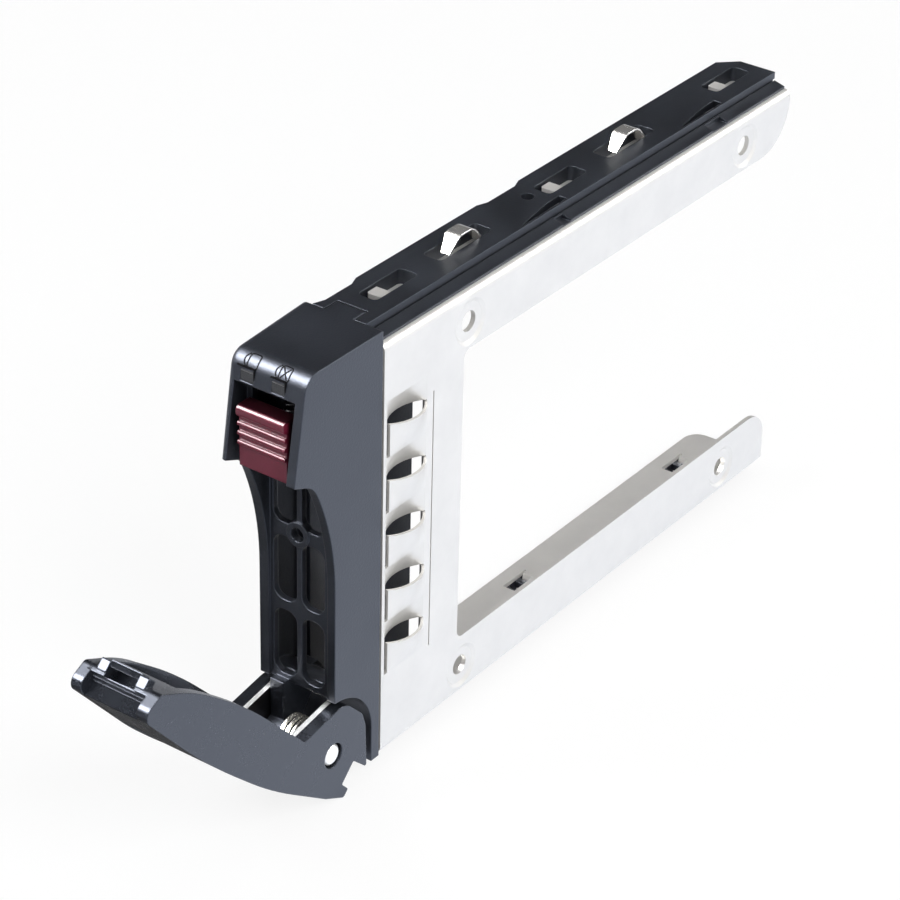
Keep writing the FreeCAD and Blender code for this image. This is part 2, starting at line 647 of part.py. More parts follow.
mid_tab = S.tab_top - S.gauge / 2
tab_edges = [(x, front, z) for middle, z in ((-S.tab_x, mid_tab), (-S.lower_tab_x, -mid_tab))
             for x in (middle - S.tab_width / 2, middle + S.tab_width / 2)
             for front in tab_fronts.values()]
round_edges(frame, "tab_corners", S.tab_corner, tab_edges)
bow_foot = S.band_top - S.finger_pitch
bow_top = bow_foot + S.bow_height
band_foot = S.band_top - S.band_height
bow_loft = loft_bow(frame, "bowed_finger", [
    (bow_foot, S.root_bow), (bow_foot + S.bow_height / 2, S.bow / 2), (bow_top, S.bow),
], -S.finger_front, -S.finger_rear)
band_loft = loft_bow(frame, "dished_band", [
    (band_foot, -S.dish), (band_foot + S.band_height / 2, -S.dish / 2), (S.band_top, -S.root_bow),
], -S.strip_rear - S.lance_gap, -S.finger_rear)
pattern = frame.newObject("PartDesign::LinearPattern", "finger_row")
pattern.Originals = [bow_loft, band_loft]
down = [f for f in frame.Origin.OriginFeatures if f.Name.startswith("Z_Axis")]
pattern.Direction = (down[0], [""])
pattern.Reversed = True
pattern.Length = ((S.finger_count - 1) * S.finger_pitch).value
pattern.setExpression("Length", ((S.finger_count - 1) * S.finger_pitch).text)
pattern.Occurrences = int(S.finger_count.value)
pattern.setExpression("Occurrences", S.finger_count.text)
frame.Tip = pattern

# ---------------------------------------------------------------------- bezel
bezel = new_body("bezel")
wall_in = S.web_out - S.wall
left_in = S.wall - S.bezel_left
side = [
    (-S.bezel_rear, rail_out), (-S.brow_front, rail_out, S.brow_radius),
    (-S.chin_front, S.chin_z), (-S.cheek_front, S.cheek_z, S.cheek_radius),
    (-S.hollow_front, S.hollow_z, S.hollow_radius), (-S.hollow_front, -S.bezel_bottom),
    (-S.bezel_rear, -S.bezel_bottom),
]
extrude(bezel, "block", "YZ", -S.bezel_left, S.web_out, [side])
arch = [
    (-S.pivot_y - S.arch_radius, -S.bezel_bottom - S.gap),
    (-S.pivot_y - S.arch_radius, S.arch_radius - S.pivot_z),
    (S.arch_radius - S.pivot_y, S.arch_radius - S.pivot_z, S.arch_radius),
    (S.arch_radius - S.pivot_y, -S.bezel_bottom - S.gap),
]
cut(bezel, "arch", "YZ", -S.bezel_left - S.gap, S.web_out + S.gap, [arch])
taper = [
    (-S.bezel_left - S.wall, -S.bezel_rear), (-S.bezel_left, -S.bezel_rear),
    (-S.bezel_nose_left, -S.chin_front - S.gap), (-S.bezel_left - S.wall, -S.chin_front - S.gap),
]
cut(bezel, "left_taper", "XY", -S.bezel_bottom - S.gap, rail_out + S.gap, [taper])
mouth = box(-S.chin_front - S.wall, -S.plate_front, -S.bezel_bottom - S.gap, S.mouth_top)
cut(bezel, "mouth", "YZ", -S.mouth_left, -S.mouth_right, [mouth])
cavity_front = S.plate_gauge - S.plate_front
cavity = [
    (cavity_front, S.top_wall_under), (-S.bezel_rear + S.wall, S.top_wall_under),
    (-S.bezel_rear + S.wall, -S.pivot_z),
    (S.arch_radius + S.arch_wall - S.pivot_y, -S.pivot_z),
    (S.arch_radius + S.arch_wall - S.pivot_y, S.arch_radius + S.arch_wall - S.pivot_z,
     S.cavity_round),
    (cavity_front, S.arch_radius + S.arch_wall - S.pivot_z),
]
cut(bezel, "cavity", "YZ", left_in, wall_in, [cavity])
low_grille = [
    [(a, foot, S.grille_corner), (b, foot, S.grille_corner), (b, top, S.grille_corner),
     (a, top, S.grille_corner)]
    for a, b in ((-S.grille_left_a, -S.grille_left_b), (-S.grille_right_a, -S.grille_right_b))
    for foot, top in ((S.grille_1_foot, S.grille_1_top), (-S.grille_2_foot, S.grille_2_top),
                      (-S.grille_3_foot, -S.grille_3_top))
]
cut(bezel, "grille", "XZ", -S.plate_front - S.gap, cavity_front + S.gap, low_grille)
extrude(bezel, "grille_boss", "XZ", -S.plate_front - S.gap, cavity_front,
        [disc(-S.boss_x, S.boss_z, S.boss_radius)])
cut(bezel, "grille_boss_hole", "XZ", -S.plate_front - S.wall, cavity_front + S.gap,
    [disc(-S.boss_x, S.boss_z, S.boss_hole)])

tongue_in = S.tongue_gauge + S.tongue_right
inner_face = S.flange_face - S.fit
extrude(bezel, "return_flange", "XY", -inner_face, inner_face,
        [box(-tongue_in, wall_in + S.gap, -S.bezel_rear - S.wall, -S.bezel_rear)])
extrude(bezel, "tongue", "XY", -inner_face, inner_face,
        [box(-tongue_in, -S.tongue_right, -S.bezel_rear - S.wall, -S.spigot_rear)])
extrude(bezel, "spigot_upper", "XY", inner_face - S.spigot_wall, inner_face,
        [box(-S.spigot_left - S.gap, -S.tongue_right, -S.catch_front, -S.bezel_rear)])
extrude(bezel, "spigot_upper_rear", "XY", inner_face - S.spigot_wall, inner_face,
        [box(-S.spigot_left, -S.tongue_right, -S.bezel_rear - S.gap, -S.spigot_rear)])
extrude(bezel, "spigot_lower", "XY", -inner_face, S.spigot_wall - inner_face,
        [box(-S.spigot_left, -S.tongue_right, -S.bezel_rear - S.gap, -S.spigot_rear)])
extrude(bezel, "spigot_left", "XY", -inner_face, inner_face,
        [box(-S.spigot_left, S.spigot_wall - S.spigot_left, -S.bezel_rear - S.wall, -S.spigot_rear)])
extrude(bezel, "rail_tab", "XY", flange_out + S.fit, rail_out,
        [box(-S.bezel_tab_left, -S.bezel_tab_right, -S.bezel_rear - S.gap, -S.bezel_tab_rear)])

hub = disc(-S.pivot_y, -S.pivot_z, S.hub_radius)
lug = [
    (-S.pivot_y - S.gap * 2, -S.pivot_z), (S.hub_radius - S.pivot_y, -S.pivot_z),
    (S.arch_radius - S.pivot_y - S.gap, S.arch_radius - S.pivot_z - S.hub_radius + S.wall),
    (S.arch_radius - S.pivot_y - S.wall, S.arch_radius - S.pivot_z),
    (-S.pivot_y - S.gap * 2, S.arch_radius - S.pivot_z + S.gap),
]
extrude(bezel, "pin_hub", "YZ", -S.lug_left, -S.hub_right, [hub])
extrude(bezel, "pin_lug", "YZ", -S.lug_left, -S.lug_right, [lug])
cut(bezel, "pin_bore", "YZ", -S.lug_left - S.gap, S.gap - S.hub_right,
    [disc(-S.pivot_y, -S.pivot_z, S.pin_radius)])

guide = box(-S.guide_front, -S.guide_back, S.guide_foot, S.mouth_top + S.gap)
extrude(bezel, "guide_left", "YZ", -S.mouth_left - S.gap, S.guide_reach - S.mouth_left, [guide])
extrude(bezel, "guide_right", "YZ", -S.mouth_right - S.guide_reach, S.gap - S.mouth_right, [guide])
ledge = box(-S.guide_back - S.gap, -S.plate_front + S.gap, S.guide_foot - S.ledge_gauge, S.guide_foot)
extrude(bezel, "ledge_left", "YZ", -S.mouth_left - S.gap, S.guide_reach - S.mouth_left, [ledge])
extrude(bezel, "ledge_right", "YZ", -S.mouth_right - S.guide_reach, S.gap - S.mouth_right, [ledge])

pipe_high = S.pipe_low + S.pipe_side
for label, right, window_a, window_b in (
        ("left", -S.pipe_left_x, -S.light_left_a, -S.light_left_b),
        ("right", -S.pipe_right_x, -S.light_right_a, -S.light_right_b)):
    groove = box(right - S.pipe_side - S.pipe_room, right + S.pipe_room,
                 -S.pipe_turn - S.pipe_side - S.pipe_room, -S.bezel_tab_rear + S.gap)
    cut(bezel, f"pipe_groove_{label}", "XY", S.window_low - S.pipe_room, pipe_high + S.pipe_room,
        [groove])
    pane = box(window_a, window_b, S.window_low, S.window_low + S.light_height, S.gap)
    cut(bezel, f"light_window_{label}", "XZ", -S.chin_front, -S.pipe_turn, [pane])
round_edges(bezel, "nose", S.nose_corner,
            [(-S.bezel_nose_left, -S.chin_front, S.mouth_top)])

# ------------------------------------------------------------- release button
button = new_body("release_button")
button_left = -S.button_x - S.button_half
button_right = S.button_half - S.button_x
head = box(-S.button_face, -S.button_back, S.button_foot, S.button_top)
extrude(button, "head", "YZ", button_left, button_right, [head])
extrude(button, "crown", "YZ", button_left, button_right, [[
    (S.gap - S.button_face, S.button_top), (-S.button_face - S.crown_out, S.button_top, S.crown_out),
    (-S.button_face - S.crown_out, S.button_top - S.crown_height, S.crown_out),
    (S.gap - S.button_face, S.button_top - S.crown_height),
]])
rib_top = S.button_top - S.rib_drop
extrude(button, "rib", "YZ", button_left, button_right, [[
    (S.gap - S.button_face, rib_top), (-S.button_face - S.rib_out, rib_top, S.gap),
    (-S.button_face - S.rib_out, rib_top - S.rib_height, S.gap),
    (S.gap - S.button_face, rib_top - S.rib_height),
]])
ribs = button.newObject("PartDesign::LinearPattern", "ribs")
ribs.Originals = [button.Tip]
down = [f for f in button.Origin.OriginFeatures if f.Name.startswith("Z_Axis")]
ribs.Direction = (down[0], [""])
ribs.Reversed = True
ribs.Length = ((S.rib_count - 1) * S.rib_pitch).value
ribs.setExpression("Length", ((S.rib_count - 1) * S.rib_pitch).text)
ribs.Occurrences = int(S.rib_count.value)
ribs.setExpression("Occurrences", S.rib_count.text)
button.Tip = ribs
extrude(button, "stem", "YZ", -S.button_x - S.stem_half, S.stem_half - S.button_x,
        [box(-S.button_back - S.gap, -S.wing_front + S.gap, S.stem_low, S.stem_high)])
extrude(button, "wings", "YZ", -S.mouth_left + S.gap, -S.mouth_right - S.gap,
        [box(-S.wing_front, -S.wing_back, S.wing_low, S.wing_high)])
extrude(button, "catch", "YZ", -S.button_x - S.catch_half, S.catch_half - S.button_x,
        [box(-S.catch_y_front, -S.catch_y_rear, S.catch_foot, S.stem_low + S.gap)])

# -------------------------------------------------------------- button spring
spring = new_body("button_spring")


def helix(body, name, plane, height, circle, pitch, rise, axis, reverse=False):
    """A six-sided wire wound about an axis."""
    sketch = add_sketch(body, name + "_wire", plane, height)
    a, b, radius = circle
    flat = radius * HALF_ROOT_THREE
    draw_outline(sketch, [(a + radius, b), (a + radius / 2, b + flat), (a - radius / 2, b + flat),
                          (a - radius, b), (a - radius / 2, b - flat), (a + radius / 2, b - flat)])
    coil = body.newObject("PartDesign::AdditiveHelix", name)
    coil.Profile = sketch
    coil.ReferenceAxis = (sketch, [axis])
    coil.Mode = 0
    coil.Pitch = pitch.value
    coil.setExpression("Pitch", pitch.text)
    coil.Height = rise.value
    coil.setExpression("Height", rise.text)
    coil.Reversed = reverse
    body.Tip = coil
    return coil


def place(body, x, y, z):
    """Move a body by named sizes."""
    body.Placement = FreeCAD.Placement(V(x.value, y.value, z.value), FreeCAD.Rotation(V(1, 0, 0), 0))
    for axis, size in (("x", x), ("y", y), ("z", z)):
        body.setExpression(f"Placement.Base.{axis}", size.text)


coil_rise = S.mouth_top - S.wing_high - S.coil_wire * 2
helix(spring, "coil", "XZ", ZERO, (S.coil_radius, S.coil_wire, S.coil_wire),
      S.coil_pitch, coil_rise, "V_Axis")
place(spring, -S.button_x, -S.coil_y, S.wing_high)

# ---------------------------------------------------------------------- lever
grip = new_body("lever_grip")
profile = [
    (-S.inner_low, S.neck_z, S.gap),
    (S.disc_rear, S.shoulder_z, S.shoulder_round),
    (S.disc_rear, -S.hook_back_z / 2, S.neck_round),
    (S.hook_back_y, -S.hook_back_z, S.neck_round),
    (S.hook_y, -S.hook_z, S.gap),
    (S.throat_rear, -S.throat_z, S.gap),
    (-S.throat_front, -S.throat_z, S.gap),
    (-S.jaw_rear, -S.jaw_z, S.gap),
    (-S.jaw_front, -S.jaw_z, S.gap * 2),
    (-S.chest_y, -S.chest_z, S.hub_radius),
    (-S.belly_y, S.belly_z, S.belly_round),
    (-S.waist_front, S.waist_z, S.waist_round),
    (-S.tip_front, S.tip_z, S.nose_round),
    (-S.tip_rear, S.heel_z, S.heel_round),
    (-S.inner_high, S.inner_high_z, S.inner_tip_round),
    (S.inner_mid, S.inner_mid_z, S.inner_round),
]
extrude(grip, "blade", "YZ", -S.lever_left, S.web_out, [profile])
taper = [
    (-S.lever_left - S.wall, S.neck_z), (-S.lever_left, S.neck_z),
    (-S.lever_nose_left, S.tip_z + S.gap), (-S.lever_left - S.wall, S.tip_z + S.gap),
]
cut(grip, "left_taper", "XZ", -S.waist_front - S.wall, S.disc_rear + S.wall, [taper])
hollow = [
    (S.hook_back_y + S.hub_free, -S.hook_z - S.gap), (S.hook_back_y + S.hub_free, S.tip_core),
    (S.skin - S.tip_front, S.tip_core, S.skin),
    (S.skin - S.waist_front, S.waist_z, S.front_round), (S.skin - S.belly_y, S.belly_z, S.front_round),
    (S.skin - S.chest_y, -S.chest_z, S.skin), (S.skin - S.jaw_front, -S.hook_z - S.gap),
]
cheek_right = S.web_out - S.cheek_gauge
cheek_left = S.cheek_gauge - S.lever_left
cut(grip, "hollow", "YZ", cheek_left, cheek_right, [hollow])
pocket = [
    (-S.tip_land, S.pocket_floor), (S.wall, S.pocket_floor), (S.wall, S.tip_z + S.gap),
    (-S.tip_land, S.tip_z + S.gap),
]
cut(grip, "catch_pocket", "YZ", -S.pocket_left, -S.pocket_right, [pocket])
brow = [(-S.waist_front, S.tip_z + S.gap), (-S.waist_front, S.heel_z - S.stair_rise * 3)] + [
    (-S.tip_land - S.stair * out, S.heel_z - S.stair_rise * down)
    for out, down in ((2, 3), (2, 2), (1, 2), (1, 1), (0, 1))
] + [(-S.tip_land, S.tip_z + S.gap)]
cut(grip, "sunk_brow", "YZ", cheek_left, cheek_right, [brow])
block = [
    (-S.block_rear, S.bar_low), (-S.block_rear, S.heel_z + S.block_out, S.gap),
    (-S.block_front, S.heel_z + S.block_out, S.gap), (-S.block_front, S.bar_low),
]
for label, a, b in (("left", -S.pocket_left - S.block_width, -S.pocket_left),
                    ("right", -S.pocket_right, S.block_width - S.pocket_right)):
    extrude(grip, f"latch_block_{label}", "YZ", a, b, [block])
extrude(grip, "latch_bar", "YZ", -S.pocket_left - S.gap, S.gap - S.pocket_right,
        [box(-S.bar_front, -S.bar_rear, S.bar_low, S.bar_high)])
cut(grip, "pin_holes", "YZ", -S.lever_left - S.gap, S.web_out + S.gap,
    [disc(ZERO, ZERO, S.cheek_hole)])


def swing(body):
    """Put a body drawn around the lever pin in its place, swung open."""
    place(body, ZERO, -S.pivot_y, -S.pivot_z)
    body.Placement.Rotation = FreeCAD.Rotation(V(1, 0, 0), S.open_angle.value)
    body.setExpression("Placement.Rotation.Angle", S.open_angle.text)


swing(grip)

bracket = new_body("lever_bracket")
arm = [
    (-S.bracket_front, S.bracket_top, S.skin), (-S.bracket_rear, S.bracket_top, S.skin),
    (-S.bracket_rear, S.neck_z + S.bracket_gauge), (-S.inner_low, S.neck_z),
    (S.disc_rear, S.shoulder_z, S.shoulder_round), (S.disc_rear, -S.hook_back_z / 2, S.neck_round),
    (ZERO, -S.throat_z + S.gap, S.neck_round),
    (S.skin + S.gap - S.chest_y, -S.chest_z, S.neck_round), (-S.bracket_front, S.neck_z, S.neck_round),
]
arm_left = cheek_left + S.fit
arm_right = cheek_right - S.fit
extrude(bracket, "arms", "YZ", arm_left, arm_right, [arm])
inside = [
    (S.bracket_gauge - S.bracket_front, S.bracket_top + S.gap),
    (S.disc_rear + S.gap, S.bracket_top + S.gap), (S.disc_rear + S.gap, -S.disc_rear),
    (-S.disc_rear, -S.disc_rear), (-S.disc_rear, S.neck_z + S.gap),
    (S.bracket_gauge - S.bracket_front, S.neck_z + S.gap),
]
cut(bracket, "between_arms", "YZ", arm_left + S.bracket_gauge, arm_right - S.bracket_gauge, [inside])
cut(bracket, "pin_holes", "YZ", arm_left - S.gap, arm_right + S.gap,
    [disc(ZERO, ZERO, S.pin_radius + S.fit)])
swing(bracket)

pin = new_body("lever_pin")
extrude(pin, "shaft", "YZ", -S.pin_left, S.pin_right, [disc(ZERO, ZERO, S.pin_radius)])
round_edges(pin, "ends", S.gap, [(-S.pin_left, ZERO, S.pin_radius), (S.pin_right, ZERO, S.pin_radius)],
            "Chamfer")
place(pin, ZERO, -S.pivot_y, -S.pivot_z)

torsion = new_body("lever_spring")
helix(torsion, "coils", "XY", ZERO, (ZERO, S.torsion_radius, S.torsion_wire),
      S.torsion_pitch, S.torsion_pitch * S.torsion_turns, "H_Axis")
place(torsion, -S.torsion_right - S.torsion_pitch * S.torsion_turns, -S.pivot_y, -S.pivot_z)

# ---------------------------------------------------------------------- rails
def slot_box(front, rear, shift):
    return box(-S.slot_left - shift, -S.slot_right - shift, front, rear, S.slot_round)


rail_bodies = {}
for label, side, shift in (("top_rail", 1, ZERO), ("bottom_rail", -1, S.lower_tab_x - S.tab_x)):
    rail = new_body(label)


    def heights(low, high):
        """Lowest and highest of two heights over the flange, on this rail's side."""
        return (flange_out + low, flange_out + high) if side > 0 else (-flange_out - high, -flange_out - low)


    outline = [
        (-S.rail_left, -S.rail_front), (-S.rail_right, -S.rail_front), (-S.rail_right, S.rail_rear),
        (-S.rail_left + S.rail_chamfer, S.rail_rear), (-S.rail_left, S.rail_rear - S.rail_chamfer),
    ]
    extrude(rail, "strip", "XY", *heights(ZERO, S.rail_gauge), [outline])
    ledge = [(-S.rail_right - S.gap, ZERO), (-S.ledge_right, ZERO), (-S.ledge_right, S.ledge_edge),
             (-S.rail_right, S.ledge_root), (-S.rail_right - S.gap, S.ledge_root)]
    ledge = [(x, flange_out + z if side > 0 else -flange_out - z) for x, z in ledge]
    extrude(rail, "low_strip", "XZ", -S.rail_front, S.rail_rear, [ledge])
    cut(rail, "groove", "XY", *heights(S.ledge_root - S.groove_width, S.ledge_root + S.groove_width),
        [box(-S.rail_right - S.groove_width, -S.rail_right + S.fit, -S.rail_front - S.gap,
             S.rail_rear + S.gap)])
    slots = [slot_box(front - S.tab_slot_front, front - S.tab_slot_front + S.tab_slot_length, shift)
             for front in tab_fronts.values()]
    if side > 0:
        slots.append(slot_box(-S.leaf_slot_front_a, -S.leaf_slot_rear_a, shift))
        slots.append(slot_box(S.leaf_slot_front_b, S.leaf_slot_rear_b, shift))
    cut(rail, "slots", "XY", *heights(-S.gap, S.rail_gauge + S.gap), slots)
    for number, front in tab_fronts.items():
        cross = box(-S.slot_left - S.gap - shift, S.gap - S.slot_right - shift,
                    front + S.hold_ahead, front + S.hold_ahead + S.hold_length)
        extrude(rail, f"cross_bar_{number}", "XY", *heights(ZERO, S.hold_gauge), [cross])
    lens_spans = ((-S.lens_front_a, -S.lens_rear_a), (S.lens_front_b, S.lens_rear_b))
    lenses = [
        [(-S.lens_right, front), (-S.lens_right, rear), (-S.lens_left, rear),
         (-S.lens_left, rear - S.lens_blunt, S.front_round)]
        for front, rear in lens_spans
    ]
    cut(rail, "lenses", "XY", *heights(S.lens_floor, S.rail_gauge + S.gap), lenses)
    eyes = [box(-S.lens_left + S.gap, -S.lens_right - S.gap, rear - S.lens_eye - S.gap, rear - S.gap, S.gap)
            for front, rear in lens_spans]
    cut(rail, "lens_eyes", "XY", *heights(-S.gap, S.rail_gauge), eyes)
    gaps = [box(-S.rail_right + S.gap, S.gap, front, rear)
            for front, rear in ((-S.ledge_gap_front_a, -S.ledge_gap_rear_a),
                                (S.ledge_gap_front_b, S.ledge_gap_rear_b))]
    cut(rail, "strip_gaps", "XY", *heights(S.ledge_edge / 2, S.rail_gauge), gaps)
    scoops = [
        [(-S.rail_left - S.gap, front), (-S.rail_left, front), (-S.scoop_right, front + S.scoop_slope),
         (-S.scoop_right, rear - S.scoop_slope), (-S.rail_left, rear), (-S.rail_left - S.gap, rear)]
        for front, rear in ((-S.scoop_front_a, -S.scoop_rear_a), (-S.scoop_front_b, -S.scoop_rear_b))
    ]
    cut(rail, "scoops", "XY", *heights(S.rail_gauge - S.scoop_depth, S.rail_gauge + S.gap), scoops)
    cut(rail, "screw_well", "XY", *heights(-S.gap, S.rail_gauge + S.gap),
        [disc(-S.screw_x, -S.screw_y, S.screw_well)])
    rail_bodies[label] = rail

rail = rail_bodies["top_rail"]
notch = box(-S.bezel_tab_left - S.notch_side, S.notch_side - S.bezel_tab_right,
            -S.rail_front - S.gap, S.notch_side - S.bezel_tab_rear)
cut(rail, "tab_notch", "XY", flange_out - S.gap, rail_out + S.gap, [notch])
for label, right in (("left", -S.pipe_left_x), ("right", -S.pipe_right_x)):
    run = box(right - S.pipe_side - S.pipe_room, right + S.pipe_room,
              -S.rail_front - S.gap, S.rail_rear + S.gap)
    cut(rail, f"pipe_channel_{label}", "XY", flange_out - S.gap, pipe_high + S.pipe_room, [run])

for label, back in (("top_spring_rear", ZERO), ("top_spring_front", S.leaf_offset)):
    leaf = new_body(label)
    t = S.leaf_gauge
    foot = flange_out + t
    strip = [
        (S.leaf_foot_rear - back, flange_out), (S.leaf_foot_rear - back, foot),
        (S.leaf_foot_front - back, foot, S.leaf_foot_round),
        (S.leaf_crest_rear - back, S.leaf_crest_z + t, S.leaf_crest_round + t),
        (S.leaf_crest_front - back, S.leaf_crest_z + t, S.leaf_crest_round / 2 + t),
        (S.leaf_tip_y - back - t, S.leaf_tip_z), (S.leaf_tip_y - back, S.leaf_tip_z),
        (S.leaf_crest_front - back + t / 2, S.leaf_crest_z, S.leaf_crest_round / 2),
        (S.leaf_crest_rear - back - t / 2, S.leaf_crest_z, S.leaf_crest_round),
        (S.leaf_foot_front - back, flange_out, S.leaf_foot_round + t),
    ]
    extrude(leaf, "blade", "YZ", -S.leaf_left, S.leaf_width - S.leaf_left, [strip])
    tip_front = S.leaf_tip_y - back - t - S.gap
    tip_rear = S.leaf_tip_y - back + S.leaf_tip_length
    sides = [
        [(x, tip_rear), (x - way * S.gap, tip_rear), (x - way * S.gap, tip_front),
         (x + way * S.leaf_tip_narrow, tip_front)]
        for x, way in ((-S.leaf_left, ONE), (S.leaf_width - S.leaf_left, -ONE))
    ]
    cut(leaf, "tip_sides", "XY", S.leaf_tip_z - S.gap, S.leaf_crest_z + S.leaf_gauge + S.gap, sides)
    room = box(-S.leaf_left - S.fit, S.leaf_width - S.leaf_left + S.fit,
               S.leaf_slot_rear_b - S.gap - back, S.leaf_foot_rear + S.fit - back)
    cut(rail, f"room_{label}", "XY", flange_out - S.gap, flange_out + S.leaf_pocket, [room])

for label, right, a, b in (("light_pipe_left", -S.pipe_left_x, -S.light_left_a, -S.light_left_b),
                           ("light_pipe_right", -S.pipe_right_x, -S.light_right_a, -S.light_right_b)):
    pipe = new_body(label)
    left = right - S.pipe_side
    extrude(pipe, "run", "XY", S.pipe_low, pipe_high,
            [box(left, right, -S.pipe_turn - S.pipe_side, S.rail_rear - S.gap)])
    extrude(pipe, "drop", "XY", S.window_low, pipe_high,
            [box(left, right, -S.pipe_turn - S.pipe_side, -S.pipe_turn)])
    extrude(pipe, "pane", "XZ", -S.pipe_face, -S.pipe_turn,
            [box(a + S.pipe_room, b - S.pipe_room, S.window_low + S.pipe_room,
                 S.window_low + S.light_height - S.pipe_room)])

for label, sign in (("rail_screw_top", 1), ("rail_screw_bottom", -1)):
    screw = new_body(label)
    spans = ((flange_out, flange_out + S.screw_head_gauge), (S.flange_face, flange_out + S.fit))
    for part_name, (low, high), radius in zip(("head", "shank"), spans, (S.screw_head, S.screw_shank)):
        if sign < 0:
            low, high = -high, -low
        extrude(screw, part_name, "XY", low, high, [disc(-S.screw_x, -S.screw_y, radius)])

# --------------------------------------------------------------------- export
doc.recompute()
bad = [f"{o.Name}: {o.State}" for o in doc.Objects if {"Invalid", "Error"} & set(o.State)]
for feature in doc.Objects:
    if feature.TypeId == "PartDesign::Pocket" and feature.BaseFeature is not None:
        if feature.Shape.Volume > feature.BaseFeature.Shape.Volume - 1e-6:
            bad.append(f"{feature.Name} removes nothing")
bodies = [o for o in doc.Objects if o.TypeId == "PartDesign::Body"]
for body in bodies:
    shape = body.Shape
    if shape.isNull() or not shape.isValid() or len(shape.Solids) != 1:
        bad.append(f"{body.Label}: {len(shape.Solids)} solids, valid {shape.isValid()}")
if bad:
    raise RuntimeError("; ".join(bad))
for body in bodies:
    body.Shape.exportStep(f"parts/{body.Label}.step")
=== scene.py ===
import json
import math

import bmesh
import bpy
from mathutils import Matrix, Vector


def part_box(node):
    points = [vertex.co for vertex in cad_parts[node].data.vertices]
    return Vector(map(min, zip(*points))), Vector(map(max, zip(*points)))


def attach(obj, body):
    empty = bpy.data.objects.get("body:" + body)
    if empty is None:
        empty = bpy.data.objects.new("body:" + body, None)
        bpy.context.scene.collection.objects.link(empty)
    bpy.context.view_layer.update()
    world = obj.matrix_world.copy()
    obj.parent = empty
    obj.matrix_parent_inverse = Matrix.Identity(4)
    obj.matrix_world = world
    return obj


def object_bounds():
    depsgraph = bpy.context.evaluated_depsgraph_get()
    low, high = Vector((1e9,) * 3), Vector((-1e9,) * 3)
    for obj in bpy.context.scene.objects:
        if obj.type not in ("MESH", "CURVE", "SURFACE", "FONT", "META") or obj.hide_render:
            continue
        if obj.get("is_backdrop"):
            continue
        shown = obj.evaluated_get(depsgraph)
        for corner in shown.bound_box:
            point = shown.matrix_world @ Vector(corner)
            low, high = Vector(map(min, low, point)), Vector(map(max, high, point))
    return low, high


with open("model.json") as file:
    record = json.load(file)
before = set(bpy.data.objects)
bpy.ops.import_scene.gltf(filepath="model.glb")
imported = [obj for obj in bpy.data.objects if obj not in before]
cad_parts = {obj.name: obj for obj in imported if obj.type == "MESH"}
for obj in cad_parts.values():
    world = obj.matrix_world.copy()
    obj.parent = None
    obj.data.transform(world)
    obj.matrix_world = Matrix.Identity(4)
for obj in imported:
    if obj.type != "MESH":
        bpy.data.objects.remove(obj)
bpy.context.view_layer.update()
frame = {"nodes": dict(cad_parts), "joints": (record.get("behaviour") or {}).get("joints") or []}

MM = 0.001
ACROSS = (1.0, 0.0, 0.0)
REAR = (0.0, 1.0, 0.0)
UP = (0.0, 0.0, 1.0)
WHITE = (1.0, 1.0, 1.0)

# The open lever leans out by 45 degrees; its own axes are counted from its pin.
HALF_ROOT = math.sqrt(0.5)
LEVER_UP = (0.0, -HALF_ROOT, HALF_ROOT)
LEVER_REAR = (0.0, HALF_ROOT, HALF_ROOT)
LEVER_PIN = next(joint["pos_m"] for joint in frame["joints"] if joint["name"] == "lever_hinge")


def sides(node):
    """The x of a node's left and right side, in millimetres."""
    return [corner.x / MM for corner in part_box(node)]


# ---------------------------------------------------------- tools for materials
BEVEL_SAMPLES = 6


class Num:
    """One value of a material, with the arithmetic that is used on it."""

    def __init__(self, paint, socket):
        self.paint = paint
        self.socket = socket

    def __add__(self, other):
        return self.paint.math("ADD", self, other)

    def __radd__(self, other):
        return self.paint.math("ADD", other, self)

    def __sub__(self, other):
        return self.paint.math("SUBTRACT", self, other)

    def __rsub__(self, other):
        return self.paint.math("SUBTRACT", other, self)

    def __mul__(self, other):
        return self.paint.math("MULTIPLY", self, other)

    def __rmul__(self, other):
        return self.paint.math("MULTIPLY", other, self)

    def clamp(self):
        return self.paint.math("ADD", self, 0.0, use_clamp=True)


